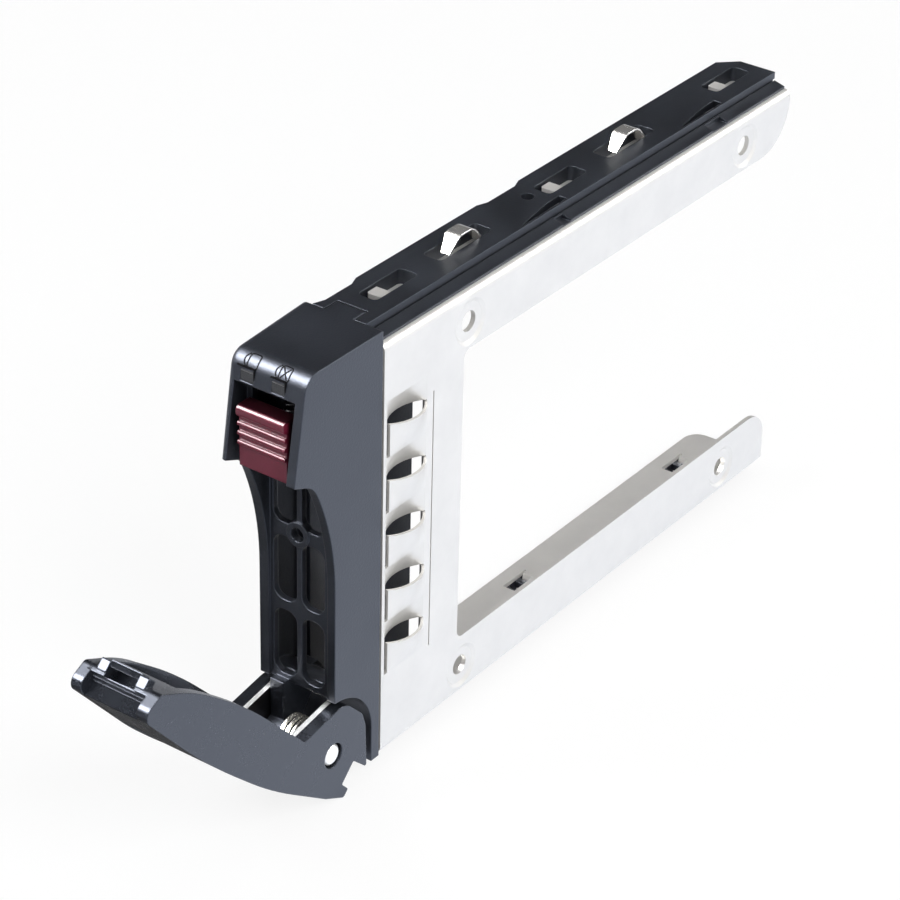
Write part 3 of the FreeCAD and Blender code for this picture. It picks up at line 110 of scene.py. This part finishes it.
class Paint:
    """A material under construction."""

    def __init__(self, name):
        self.material = bpy.data.materials.new(name)
        self.material.use_nodes = True
        self.tree = self.material.node_tree
        self.shader = self.tree.nodes["Principled BSDF"]
        self.place = self.node("ShaderNodeTexCoord").outputs["Object"]

    def node(self, kind, settings=None, **inputs):
        made = self.tree.nodes.new(kind)
        for key, value in (settings or {}).items():
            setattr(made, key, value)
        for key, value in inputs.items():
            self.feed(made.inputs[key.replace("_", " ")], value)
        return made

    def feed(self, socket, value):
        if isinstance(value, Num):
            value = value.socket
        if isinstance(value, bpy.types.NodeSocket):
            self.tree.links.new(value, socket)
        else:
            socket.default_value = value

    def set(self, **inputs):
        for key, value in inputs.items():
            self.feed(self.shader.inputs[key.replace("_", " ")], value)

    def math(self, operation, *values, use_clamp=False):
        made = self.node("ShaderNodeMath", {"operation": operation, "use_clamp": use_clamp})
        for socket, value in zip(made.inputs, values):
            self.feed(socket, value)
        return Num(self, made.outputs[0])

    def vector_math(self, operation, output, first, second):
        """What an operation makes of two vectors, such as their distance."""
        made = self.node("ShaderNodeVectorMath", {"operation": operation})
        self.feed(made.inputs[0], first)
        self.feed(made.inputs[1], second)
        return made.outputs[output]

    def mix(self, factor, a, b):
        """The first colour at factor 0, the second at 1."""
        made = self.node("ShaderNodeMix", {"data_type": "RGBA"}, Factor=factor)
        for name, colour in (("A", a), ("B", b)):
            self.feed(made.inputs[name], (*colour, 1.0) if isinstance(colour, tuple) else colour)
        return made.outputs["Result"]

    def noise(self, scale, detail, rough=0.5, stretch=None):
        vector = self.place
        if stretch:
            vector = self.node("ShaderNodeMapping", Vector=vector, Scale=stretch).outputs[0]
        made = self.node("ShaderNodeTexNoise", Vector=vector, Scale=scale, Detail=detail,
                         Roughness=rough)
        return Num(self, made.outputs["Fac"])

    def window(self, value, low, high):
        """0 under low, 1 over high."""
        made = self.node("ShaderNodeMapRange", Value=value, From_Min=low, From_Max=high)
        return Num(self, made.outputs[0])

    def band(self, value, low, high, outer, inner=0.0):
        """1 from low to high, fading out from inner to outer beyond them, in millimetres."""
        return (self.window(value, (low - outer) * MM, (low - inner) * MM)
                * self.window(value, (high + outer) * MM, (high + inner) * MM))

    def along(self, direction, start=(0.0, 0.0, 0.0)):
        """Distance from start in a direction, in metres."""
        moved = self.vector_math("SUBTRACT", "Vector", self.place, start)
        return Num(self, self.vector_math("DOT_PRODUCT", "Value", moved, direction))

    def soft_edges(self, radius):
        """Normals that run round the sharp edges, as the mould's radii do."""
        return self.node("ShaderNodeBevel", {"samples": BEVEL_SAMPLES}, Radius=radius).outputs[0]

    def bump(self, height, strength, distance, normal=None):
        made = self.node("ShaderNodeBump", Height=height, Strength=strength, Distance=distance)
        if normal is not None:
            self.feed(made.inputs["Normal"], normal)
        return made.outputs[0]

    def gloss_rays(self):
        """1 on rays that a shiny face reflects."""
        return Num(self, self.node("ShaderNodeLightPath").outputs["Is Glossy Ray"])

    def open_rays(self):
        """1 on rays from the lens and on reflected or transmitted ones."""
        path = self.node("ShaderNodeLightPath")
        camera, glossy, transmission = [
            Num(self, path.outputs[f"Is {kind} Ray"]) for kind in ("Camera", "Glossy", "Transmission")]
        return (camera + glossy + transmission).clamp()


class Sky(Paint):
    """The surroundings, built with the same tools as a material."""

    def __init__(self, name):
        self.world = bpy.data.worlds.new(name)
        self.world.use_nodes = True
        self.tree = self.world.node_tree
        self.shader = self.tree.nodes["Background"]
        self.place = self.node("ShaderNodeTexCoord").outputs["Generated"]

    def patch(self, toward, core, edge):
        """1 within core degrees of a direction, 0 outside edge."""
        nearness = self.vector_math("DOT_PRODUCT", "Value", self.place, toward)
        return self.window(Num(self, nearness), math.cos(math.radians(edge)),
                           math.cos(math.radians(core)))


# --------------------------------------------------------------------- finishes
EDGE_SOFT = 0.3 * MM
RAIL_EDGE_SOFT = 0.12 * MM
STEEL_EDGE_SOFT = 0.15 * MM

BLACK = (0.0095, 0.0108, 0.0135)
BLACK_WORN = (0.0135, 0.015, 0.019)
RAIL_BLACK = (0.0075, 0.0085, 0.0105)
MAROON = (0.1, 0.006, 0.02)
MAROON_WORN = (0.135, 0.011, 0.029)
COOL_GLOSS = (0.78, 0.84, 1.0)
PLASTIC_IOR = 1.58
SMEARED = (0.35, 0.7)
SMEAR_ROUGH = 0.1
GRAIN_GLOSS = 0.06
GRAIN_STRENGTH = 0.3
GRAIN_HEIGHT = 0.06 * MM
# Share of a plastic's colour kept where shade is painted.
PAINTED_SHADE_SHARE = 0.12

ZINC = (0.69, 0.675, 0.65)
ZINC_DARK = (0.64, 0.626, 0.603)
ZINC_METAL = 0.45
ZINC_ROUGH = 0.28
MOTTLED = (0.3, 0.7)
MOTTLE_ROUGH = 0.14
ROLLED_ROUGH = 0.05
ROLLED_STRENGTH = 0.06
ROLLED_HEIGHT = 0.05 * MM

BRACKET_STEEL = (0.93, 0.93, 0.92)
PIN_STEEL = (0.9, 0.9, 0.89)
LEAF_STEEL = (0.9, 0.88, 0.84)
COIL_STEEL = (0.78, 0.76, 0.7)
SCREW_STEEL = (0.7, 0.69, 0.66)
# Painted shade: the hidden button spring's steel is coloured near black, as it sits out of the light.
SHADED_SPRING_STEEL = (0.05, 0.05, 0.052)
UNLIT_STEEL = (0.006, 0.006, 0.007)
STREAK_ROUGH = 0.1

SMOKE = (0.012, 0.013, 0.015)
SMOKE_PALE = (0.02, 0.021, 0.024)
# Painted highlight along the light pipes' upper lip.
PIPE_HIGHLIGHT = (0.55, 0.56, 0.58)
PIPE_IOR = 1.49
PIPE_COAT = 0.5
PIPE_ROUGH = 0.18
HAZE_ROUGH = 0.1

# Matt black of the printed signs, also the painted shade in the joints round the panes.
INK_AND_SHADE = (0.004, 0.004, 0.0045)
INK_AND_SHADE_PALE = (0.007, 0.007, 0.008)
INK_ROUGH = 0.5
INK_GLOSS = 0.05

# Stretches of y or z over which the button gets its painted shade and the light pipes' lip its painted
# highlight.
BUTTON_DEEP = (-78.05 * MM, -77.4 * MM)
BUTTON_TOP = (30.75 * MM, 30.9 * MM)
BUTTON_TOP_DEEP = (-78.7 * MM, -78.1 * MM)
PIPE_LIP = (36.2 * MM, 36.23 * MM)

# Between the bracket's two walls little light gets in.
BRACKET_WALL = 0.8
INSIDE_OUTER = 0.02
INSIDE_INNER = 0.01

# Levels of the lever's end, in millimetres: height above the pin, where the fall starts, and
# the left and right side.
TIP_LEVELS = (
    (48.95, -12.0, -11.02, -0.86),
    (49.3, -5.98, -11.02, -0.86),
    (49.65, -5.43, -11.02, -0.86),
    (50.0, -3.3, -8.6, -3.2),
    (47.6, -5.0, -8.6, -3.2),
)
TIP_FALL = 0.42
TIP_OUTER = 0.06
TIP_INNER = 0.05
TIP_SIDE = 0.01


def moulded_plastic(name, colour, worn, grain, rough, gloss=COOL_GLOSS, painted_shade=None, slope=None,
                    edge=EDGE_SOFT):
    """Injection moulded plastic with a spark-eroded grain and handling marks.

    painted_shade paints it darker where less light gets in; slope tilts the normal that it is given."""
    paint = Paint(name)
    paint.set(Specular_Tint=(*gloss, 1.0), IOR=PLASTIC_IOR)
    fine = paint.noise(scale=2700.0, detail=3.0, rough=0.6)
    smear = paint.window(paint.noise(scale=95.0, detail=4.0, rough=0.6), *SMEARED)
    tone = paint.mix(smear, colour, worn)
    # Painted shade: the colour gets darker where the mask says less light gets in.
    if painted_shade:
        tone = paint.mix(painted_shade(paint), tone, tuple(part * PAINTED_SHADE_SHARE for part in colour))
    normal = paint.soft_edges(edge)
    if slope:
        normal = slope(paint, normal)
    paint.set(Base_Color=tone, Roughness=rough + smear * SMEAR_ROUGH - fine * GRAIN_GLOSS,
              Normal=paint.bump(fine, GRAIN_STRENGTH * grain, GRAIN_HEIGHT, normal))
    return paint.material


def button_painted_shade(paint):
    """Painted shade: 1 at the back of the button's head and on its top, where little light gets in."""
    rear = paint.along(REAR)
    top = paint.window(paint.along(UP), *BUTTON_TOP) * paint.window(rear, *BUTTON_TOP_DEEP)
    return (paint.window(rear, *BUTTON_DEEP) + top).clamp()


def tip_slopes(paint, normal):
    """The normal of the lever's end, whose levels fall away to the front from a line each."""
    up = paint.along(LEVER_UP, LEVER_PIN)
    rear = paint.along(LEVER_REAR, LEVER_PIN)
    across = paint.along(ACROSS)
    height = 0.0
    for level, start, left, right in TIP_LEVELS:
        on_level = (paint.band(up, level, level, TIP_OUTER, TIP_INNER)
                    * paint.band(across, left, right, TIP_SIDE))
        height = height + on_level * paint.math("MAXIMUM", rear - start * MM, 0.0)
    return paint.bump(height * TIP_FALL, strength=1.0, distance=1.0, normal=normal)


def zinc_sheet(name):
    """Zinc coated sheet, rolled along the tray, with a faint mottle."""
    paint = Paint(name)
    rolled = paint.noise(scale=900.0, detail=4.0, rough=0.6, stretch=(1.0, 0.06, 1.0))
    mottle = paint.noise(scale=160.0, detail=5.0, rough=0.62)
    tone = paint.mix(paint.window(mottle, *MOTTLED), ZINC_DARK, ZINC)
    paint.set(Base_Color=tone, Metallic=ZINC_METAL,
              Roughness=ZINC_ROUGH + mottle * MOTTLE_ROUGH + rolled * ROLLED_ROUGH,
              Normal=paint.bump(rolled, ROLLED_STRENGTH, ROLLED_HEIGHT))
    return paint.material


def bright_steel(name, colour, rough=0.22, metal=0.8, shade=0.9, inside=None):
    """Drawn or stamped steel with fine streaks; inside is a stretch of x in the dark."""
    paint = Paint(name)
    streak = paint.noise(scale=2400.0, detail=3.0, rough=0.55, stretch=(0.15, 1.0, 1.0))
    tone = paint.mix(streak, tuple(part * shade for part in colour), colour)
    if inside:
        dark = paint.band(paint.along(ACROSS), *inside, INSIDE_OUTER, INSIDE_INNER)
        tone = paint.mix(dark, tone, UNLIT_STEEL)
    paint.set(Base_Color=tone, Metallic=metal, Roughness=rough + streak * STREAK_ROUGH,
              Normal=paint.soft_edges(STEEL_EDGE_SOFT))
    return paint.material


def smoked_pipe(name):
    """Smoked clear plastic, dark until a lamp shines through it, with a painted highlight along its
    upper lip.
    """
    paint = Paint(name)
    haze = paint.noise(scale=400.0, detail=3.0)
    # Painted highlight: the upper lip is coloured bright.
    lip = paint.window(paint.along(UP), *PIPE_LIP)
    smoke = paint.mix(haze, SMOKE, SMOKE_PALE)
    paint.set(Base_Color=paint.mix(lip, smoke, PIPE_HIGHLIGHT),
              Roughness=PIPE_ROUGH + haze * HAZE_ROUGH, Coat_Weight=PIPE_COAT, IOR=PIPE_IOR)
    return paint.material


def ink_and_shade_paint(name):
    """Matt black ink, also used as painted shade in the joints round the panes."""
    paint = Paint(name)
    speck = paint.noise(scale=3000.0, detail=2.0)
    paint.set(Base_Color=paint.mix(speck, INK_AND_SHADE, INK_AND_SHADE_PALE), Roughness=INK_ROUGH,
              Specular_IOR_Level=INK_GLOSS)
    return paint.material


def rail_plastic(name):
    """The slide rails' plastic, with crisper edges."""
    return moulded_plastic(name, RAIL_BLACK, BLACK, grain=1.0, rough=0.4, edge=RAIL_EDGE_SOFT)


def bracket_steel(name):
    """Stamped steel, with painted shade between the bracket's walls."""
    left, right = sides("lever_bracket")
    return bright_steel(name, BRACKET_STEEL, rough=0.3, metal=0.45, shade=0.96,
                        inside=(left + BRACKET_WALL, right - BRACKET_WALL))


def leaf_steel(name):
    """Polished strip of the rails' leaf springs."""
    return bright_steel(name, LEAF_STEEL, rough=0.16, metal=0.85, shade=0.94)


looks = {
    "drive_frame": zinc_sheet("channel_steel"),
    "bezel": moulded_plastic("bezel_plastic", BLACK, BLACK_WORN, grain=1.8, rough=0.36),
    "release_button": moulded_plastic("button_plastic", MAROON, MAROON_WORN, grain=0.6, rough=0.3,
                                      gloss=WHITE, painted_shade=button_painted_shade),
    "button_spring": bright_steel("button_spring_wire", SHADED_SPRING_STEEL, rough=0.4),
    "lever_grip": moulded_plastic("lever_plastic", BLACK, BLACK_WORN, grain=0.5, rough=0.25,
                                  slope=tip_slopes),
    "lever_bracket": bracket_steel("bracket_steel"),
    "lever_pin": bright_steel("pin_steel", PIN_STEEL, rough=0.3, metal=0.5, shade=0.95),
    "lever_spring": bright_steel("lever_spring_wire", COIL_STEEL),
    "top_rail": rail_plastic("top_rail_plastic"),
    "bottom_rail": rail_plastic("bottom_rail_plastic"),
    "top_spring_front": leaf_steel("front_leaf_steel"),
    "top_spring_rear": leaf_steel("rear_leaf_steel"),
    "light_pipe_left": smoked_pipe("left_pipe_smoked"),
    "light_pipe_right": smoked_pipe("right_pipe_smoked"),
    "rail_screw_top": bright_steel("top_screw_steel", SCREW_STEEL),
    "rail_screw_bottom": bright_steel("bottom_screw_steel", SCREW_STEEL),
}
for node, material in looks.items():
    slots = frame["nodes"][node].data.materials
    slots.clear()
    slots.append(material)
ink_and_gap_shade = ink_and_shade_paint("sign_ink_and_gap_shade")


# ------------------------------------------------------ marks made of thin bars
def marking(name, bars):
    """Thin bars joined to one black piece on the bezel: printed signs, or painted shade in a joint."""
    for bar in bars:
        bar.select_set(True)
    bpy.ops.object.join()
    made = bpy.context.object
    made.name = name
    bpy.ops.object.transform_apply(location=True, rotation=True, scale=True)
    made.data.materials.append(ink_and_gap_shade)
    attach(made, "tray")


# ---------------------------------------------------------------- printed signs
BROW_ROUND = 2.8
BROW_CENTRE = Vector((0.0, -74.64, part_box("bezel")[1].z / MM - BROW_ROUND))
SIGN_MIDDLE = math.radians(45.0)
SIGN_LIFT = 0.012
SIGN_WIDTH = 0.2
SIGN_THICK = 0.05
SIGN_STEP = 0.45
SIGN_LEFT_X = -8.85
SIGN_RIGHT_X = -3.25
CORNER_STEPS = 4
ARC_STEPS = 6


def on_brow(x, down):
    """A place on the rounded top front edge, down counted along the curve, and its normal."""
    turn = SIGN_MIDDLE + down / BROW_ROUND
    normal = Vector((0.0, -math.sin(turn), math.cos(turn)))
    return BROW_CENTRE + Vector((x, 0.0, 0.0)) + normal * (BROW_ROUND + SIGN_LIFT), normal


def sign_bar(start, end):
    """A thin raised bar between two (x, down) points of the rounded edge."""
    (start_place, start_normal), (end_place, end_normal) = on_brow(*start), on_brow(*end)
    run = end_place - start_place
    forward = run.normalized()
    normal = (start_normal + end_normal).normalized()
    turn = Matrix((forward, normal.cross(forward), normal)).transposed().to_euler()
    bpy.ops.mesh.primitive_cube_add(
        size=MM, location=(start_place + end_place) / 2 * MM, rotation=turn,
        scale=(run.length + SIGN_WIDTH, SIGN_WIDTH, SIGN_THICK))
    return bpy.context.object


def sign(name, middle, lines):
    """Raised strokes along lines of (across, down) points, in short bars that follow the curve."""
    bpy.ops.object.select_all(action="DESELECT")
    bars = []
    for line in lines:
        for (xa, da), (xb, db) in zip(line, line[1:]):
            steps = max(1, math.ceil(math.hypot(xb - xa, db - da) / SIGN_STEP))
            shares = [n / steps for n in range(steps + 1)]
            points = [(middle + xa + (xb - xa) * t, da + (db - da) * t) for t in shares]
            bars += [sign_bar(start, end) for start, end in zip(points, points[1:])]
    marking(name, bars)


def rounded_square(left, right, top, low, corner):
    """Outline of a square with rounded corners, closed."""
    centres = [(right - corner, low - corner), (left + corner, low - corner),
               (left + corner, top + corner), (right - corner, top + corner)]
    line = []
    for quarter, (x, down) in enumerate(centres):
        for n in range(CORNER_STEPS + 1):
            turn = math.radians(90.0 * (quarter + n / CORNER_STEPS))
            line.append((x + corner * math.cos(turn), down + corner * math.sin(turn)))
    return line + line[:1]


def shallow_arc(x, half, painted_shade):
    """A shallow arc standing beside a sign."""
    spread = [2.0 * n / ARC_STEPS - 1.0 for n in range(ARC_STEPS + 1)]
    return [(x - painted_shade * (1.0 - t * t), half * t) for t in spread]


sign_outline = [
    rounded_square(left=-0.65, right=1.15, top=-1.15, low=1.15, corner=0.45),
    shallow_arc(x=-0.85, half=1.0, painted_shade=0.5),
]
cross = [[(-0.3, -0.8), (0.8, 0.8)], [(0.8, -0.8), (-0.3, 0.8)]]
sign("sign_drive", SIGN_LEFT_X, sign_outline)
sign("sign_fault", SIGN_RIGHT_X, sign_outline + cross)

# ------------------------------------------------------- painted shade in the joints round the panes
PANE_LOW = 34.3
PANE_HIGH = 36.8
JOINT_PROUD = 0.01
JOINT_DEEP = 0.6
JOINT_WIDE = 0.2
JOINT_HIGH = 0.1


def thin_bar(low_corner, high_corner):
    """A box between two corners, in millimetres."""
    a, b = Vector(low_corner), Vector(high_corner)
    bpy.ops.mesh.primitive_cube_add(size=MM, location=(a + b) / 2 * MM, scale=b - a)
    return bpy.context.object


def pane_gap_shade(name, pipe):
    """Painted shade: a black strip in the joint at the right side and the top of a light pipe's pane.
    """
    left, right = sides(pipe)
    end = right + JOINT_WIDE
    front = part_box(pipe)[0].y / MM - JOINT_PROUD
    back = front + JOINT_DEEP
    bpy.ops.object.select_all(action="DESELECT")
    marking(name, [
        thin_bar((right, front, PANE_LOW), (end, back, PANE_HIGH)),
        thin_bar((left, front, PANE_HIGH), (end, back, PANE_HIGH + JOINT_HIGH)),
    ])


pane_gap_shade("pane_gap_shade_left", "light_pipe_left")
pane_gap_shade("pane_gap_shade_right", "light_pipe_right")

# --------------------------------------------------------- left cheek of the tip
CHEEK_LOW = 24.0
CHEEK_TIP = 51.4
# Corners of its outline in the lever's own axes: rear, up, radius.
CHEEK_OUTLINE = [
    (-9.43, CHEEK_LOW, 0.0), (-9.7, 31.3, 150.0), (-8.25, CHEEK_TIP, 1.6), (-4.0, 50.0, 1.0),
    (-1.4, 42.7, 38.0), (-0.1, 28.8, 85.0), (-0.3, CHEEK_LOW, 0.0),
]
CHEEK_INNER = -11.0
CHEEK_OUTER_LOW = -12.98
CHEEK_OUTER_TIP = -12.85
CHEEK_STEPS = 8
# The share of a side that one corner's rounding may take.
MOST_REACH = 0.49


def rounded_line(corners):
    """A closed line through corners (rear, up, radius), rounded as far as their sides allow."""
    line = []
    for n, (rear, up, radius) in enumerate(corners):
        here = Vector((rear, up))
        if not radius:
            line.append(here)
            continue
        before = Vector(corners[n - 1][:2]) - here
        after = Vector(corners[(n + 1) % len(corners)][:2]) - here
        half = before.angle(after) / 2
        reach = min(radius / math.tan(half), MOST_REACH * before.length, MOST_REACH * after.length)
        inward = (before.normalized() + after.normalized()).normalized()
        middle = here + inward * reach / math.cos(half)
        start = here + before.normalized() * reach - middle
        turn = start.angle_signed(here + after.normalized() * reach - middle)
        line += [middle + Matrix.Rotation(-turn * k / CHEEK_STEPS, 2) @ start
                 for k in range(CHEEK_STEPS + 1)]
    return line


def in_lever(x, rear, up):
    """A place given in the lever's own axes, in millimetres."""
    return Vector(LEVER_PIN) + (
        Vector((x, 0.0, 0.0)) + Vector(LEVER_REAR) * rear + Vector(LEVER_UP) * up) * MM


def cheek_outside(up):
    """The cheek's outer face leans in a little towards the tip."""
    share = (up - CHEEK_LOW) / (CHEEK_TIP - CHEEK_LOW)
    return CHEEK_OUTER_LOW + (CHEEK_OUTER_TIP - CHEEK_OUTER_LOW) * share


def left_cheek():
    """The left cheek keeps its thickness up to the tip: a short drum drawn out to its outline."""
    line = rounded_line(CHEEK_OUTLINE)
    bpy.ops.object.select_all(action="DESELECT")
    bpy.ops.mesh.primitive_cylinder_add(vertices=len(line), radius=MM, depth=MM)
    made = bpy.context.object
    made.name = "lever_left_cheek"
    shape = bmesh.new()
    shape.from_mesh(made.data)
    outer, inner = [
        sorted((v for v in shape.verts if v.co.z * side > 0), key=lambda v: math.atan2(v.co.y, v.co.x))
        for side in (-1, 1)]
    for outer_vertex, inner_vertex, (rear, up) in zip(outer, inner, line):
        outer_vertex.co = in_lever(cheek_outside(up), rear, up)
        inner_vertex.co = in_lever(CHEEK_INNER, rear, up)
    bmesh.ops.recalc_face_normals(shape, faces=shape.faces)
    shape.to_mesh(made.data)
    shape.free()
    made.data.materials.append(looks["lever_grip"])
    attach(made, "lever")


left_cheek()

# ---------------------------------------------------------------------- stage
FLOOR_SIZE = 6.0
FLOOR_PAPER = (0.93, 0.93, 0.93)
FLOOR_ROUGH = 0.9
FLOOR_GLOW = 0.86
# Painted reflections, the floor as shiny faces see it: before the object, right of it past a stretch
# of x, and round a place under the lever, dark up to the first distance and plain from the second.
FLOOR_BEFORE = (0.6, 0.62, 0.67)
FLOOR_RIGHT = (1.3, 1.4, 1.6)
FLOOR_TURN = (-0.008, 0.003)
FLOOR_UNDER = (0.03, 0.03, 0.033)
LEVER_SHADE = (-0.03, -0.125, 0.0)
LEVER_SHADE_SPAN = (0.045, 0.07)

# Patches of the surroundings: their direction, and the degrees to their core and their edge.
FLAG = ((-0.4996, 0.6959, 0.5159), 24.0, 52.0)
FRONT_FLAG = ((-0.505, -0.839, 0.202), 16.0, 26.0)
BOX = ((-0.497, -0.517, 0.697), 14.0, 25.0)
RIM = ((0.516, 0.696, 0.499), 8.0, 18.0)
FLAG_TONE = (0.06, 0.06, 0.065)
BOX_LIGHT = 36.0
RIM_LIGHT = 12.0
SKY_ON_MATT = 0.62

# Lamps: place, target and width in metres, power in watts.
LAMPS = {
    "key_panel": ((0.55, -0.25, 0.55), (0.0, -0.02, 0.0), 0.35, 4.0),
    "brow_panel": ((-0.42, -0.5, 0.62), (0.0, -0.07, 0.02), 0.16, 1.0),
}


def floor_paper():
    """White paper; the lens, shiny faces and clear pieces see it lit from within.

    Shiny faces see painted reflections in it: dim before the object, a painted shadow under the lever
    and cool to the right."""
    paint = Paint("floor_paper")
    paint.set(Base_Color=(*FLOOR_PAPER, 1.0), Roughness=FLOOR_ROUGH)
    gloss = paint.gloss_rays()
    parts = paint.node("ShaderNodeSeparateXYZ", Vector=paint.place)
    right = paint.window(parts.outputs["X"], *FLOOR_TURN)
    away = paint.vector_math("DISTANCE", "Value", paint.place, LEVER_SHADE)
    before = paint.mix(paint.window(away, *LEVER_SHADE_SPAN), FLOOR_UNDER, FLOOR_BEFORE)
    mirrored = paint.mix(right, before, FLOOR_RIGHT)
    glow = paint.node("ShaderNodeEmission", Color=paint.mix(gloss, WHITE, mirrored))
    blend = paint.node("ShaderNodeMixShader")
    for socket, value in zip(blend.inputs, (
            paint.open_rays() * FLOOR_GLOW, paint.shader.outputs[0], glow.outputs[0])):
        paint.feed(socket, value)
    paint.feed(paint.tree.nodes["Material Output"].inputs["Surface"], blend.outputs[0])
    return paint.material


def studio_floor():
    """A plain floor that the object's lowest edge touches."""
    bpy.ops.object.select_all(action="DESELECT")
    bpy.ops.mesh.primitive_plane_add(size=FLOOR_SIZE, location=(0.0, 0.0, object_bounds()[0].z))
    floor = bpy.context.object
    floor.name = "studio_floor"
    floor.data.materials.append(floor_paper())
    floor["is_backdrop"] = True


def surroundings():
    """White, weaker on matt faces.

    Only gloss shows the two dark flags, up behind the object and before it, the soft box
    before it and the small light behind it."""
    sky = Sky("studio")
    gloss = sky.gloss_rays()
    flags = sky.patch(*FLAG) + sky.patch(*FRONT_FLAG)
    lights = sky.patch(*BOX) * BOX_LIGHT + sky.patch(*RIM) * RIM_LIGHT
    plain = sky.open_rays() * (1.0 - SKY_ON_MATT) + SKY_ON_MATT
    sky.set(Color=sky.mix(flags.clamp() * gloss, WHITE, FLAG_TONE), Strength=plain + lights * gloss)
    return sky.world


def area_lamp(name, place, target, width, power):
    """A square soft lamp turned to its target."""
    lamp = bpy.data.lights.new(name, "AREA")
    lamp.size = width
    lamp.energy = power
    made = bpy.data.objects.new(name, lamp)
    bpy.context.collection.objects.link(made)
    made.location = place
    made.rotation_euler = (Vector(target) - Vector(place)).to_track_quat("-Z", "Y").to_euler()


studio_floor()
bpy.context.scene.world = surroundings()
for lamp_name, lamp_facts in LAMPS.items():
    area_lamp(lamp_name, *lamp_facts)

# --------------------------------------------------------------------- camera
CAMERA_PLACE = Vector((241.728, -377.794, 259.248)) * MM
CAMERA_RIGHT = Vector((0.804716, 0.593291, 0.020936))
CAMERA_UP = Vector((-0.320635, 0.404676, 0.856406))
CAMERA_BACK = Vector((0.499625, -0.695876, 0.515879))
SENSOR_WIDTH = 36.0
FOCAL_LENGTH = 128.4576
NEAREST = 0.01
FARTHEST = 50.0

optics = bpy.data.cameras.new("camera")
optics.sensor_width = SENSOR_WIDTH
optics.lens = FOCAL_LENGTH
optics.clip_start = NEAREST
optics.clip_end = FARTHEST
camera = bpy.data.objects.new("camera", optics)
bpy.context.collection.objects.link(camera)
axes = Matrix((CAMERA_RIGHT, CAMERA_UP, CAMERA_BACK)).transposed()
camera.matrix_world = Matrix.Translation(CAMERA_PLACE) @ axes.to_4x4()
bpy.context.scene.camera = camera
bpy.context.scene.view_settings.view_transform = "Standard"
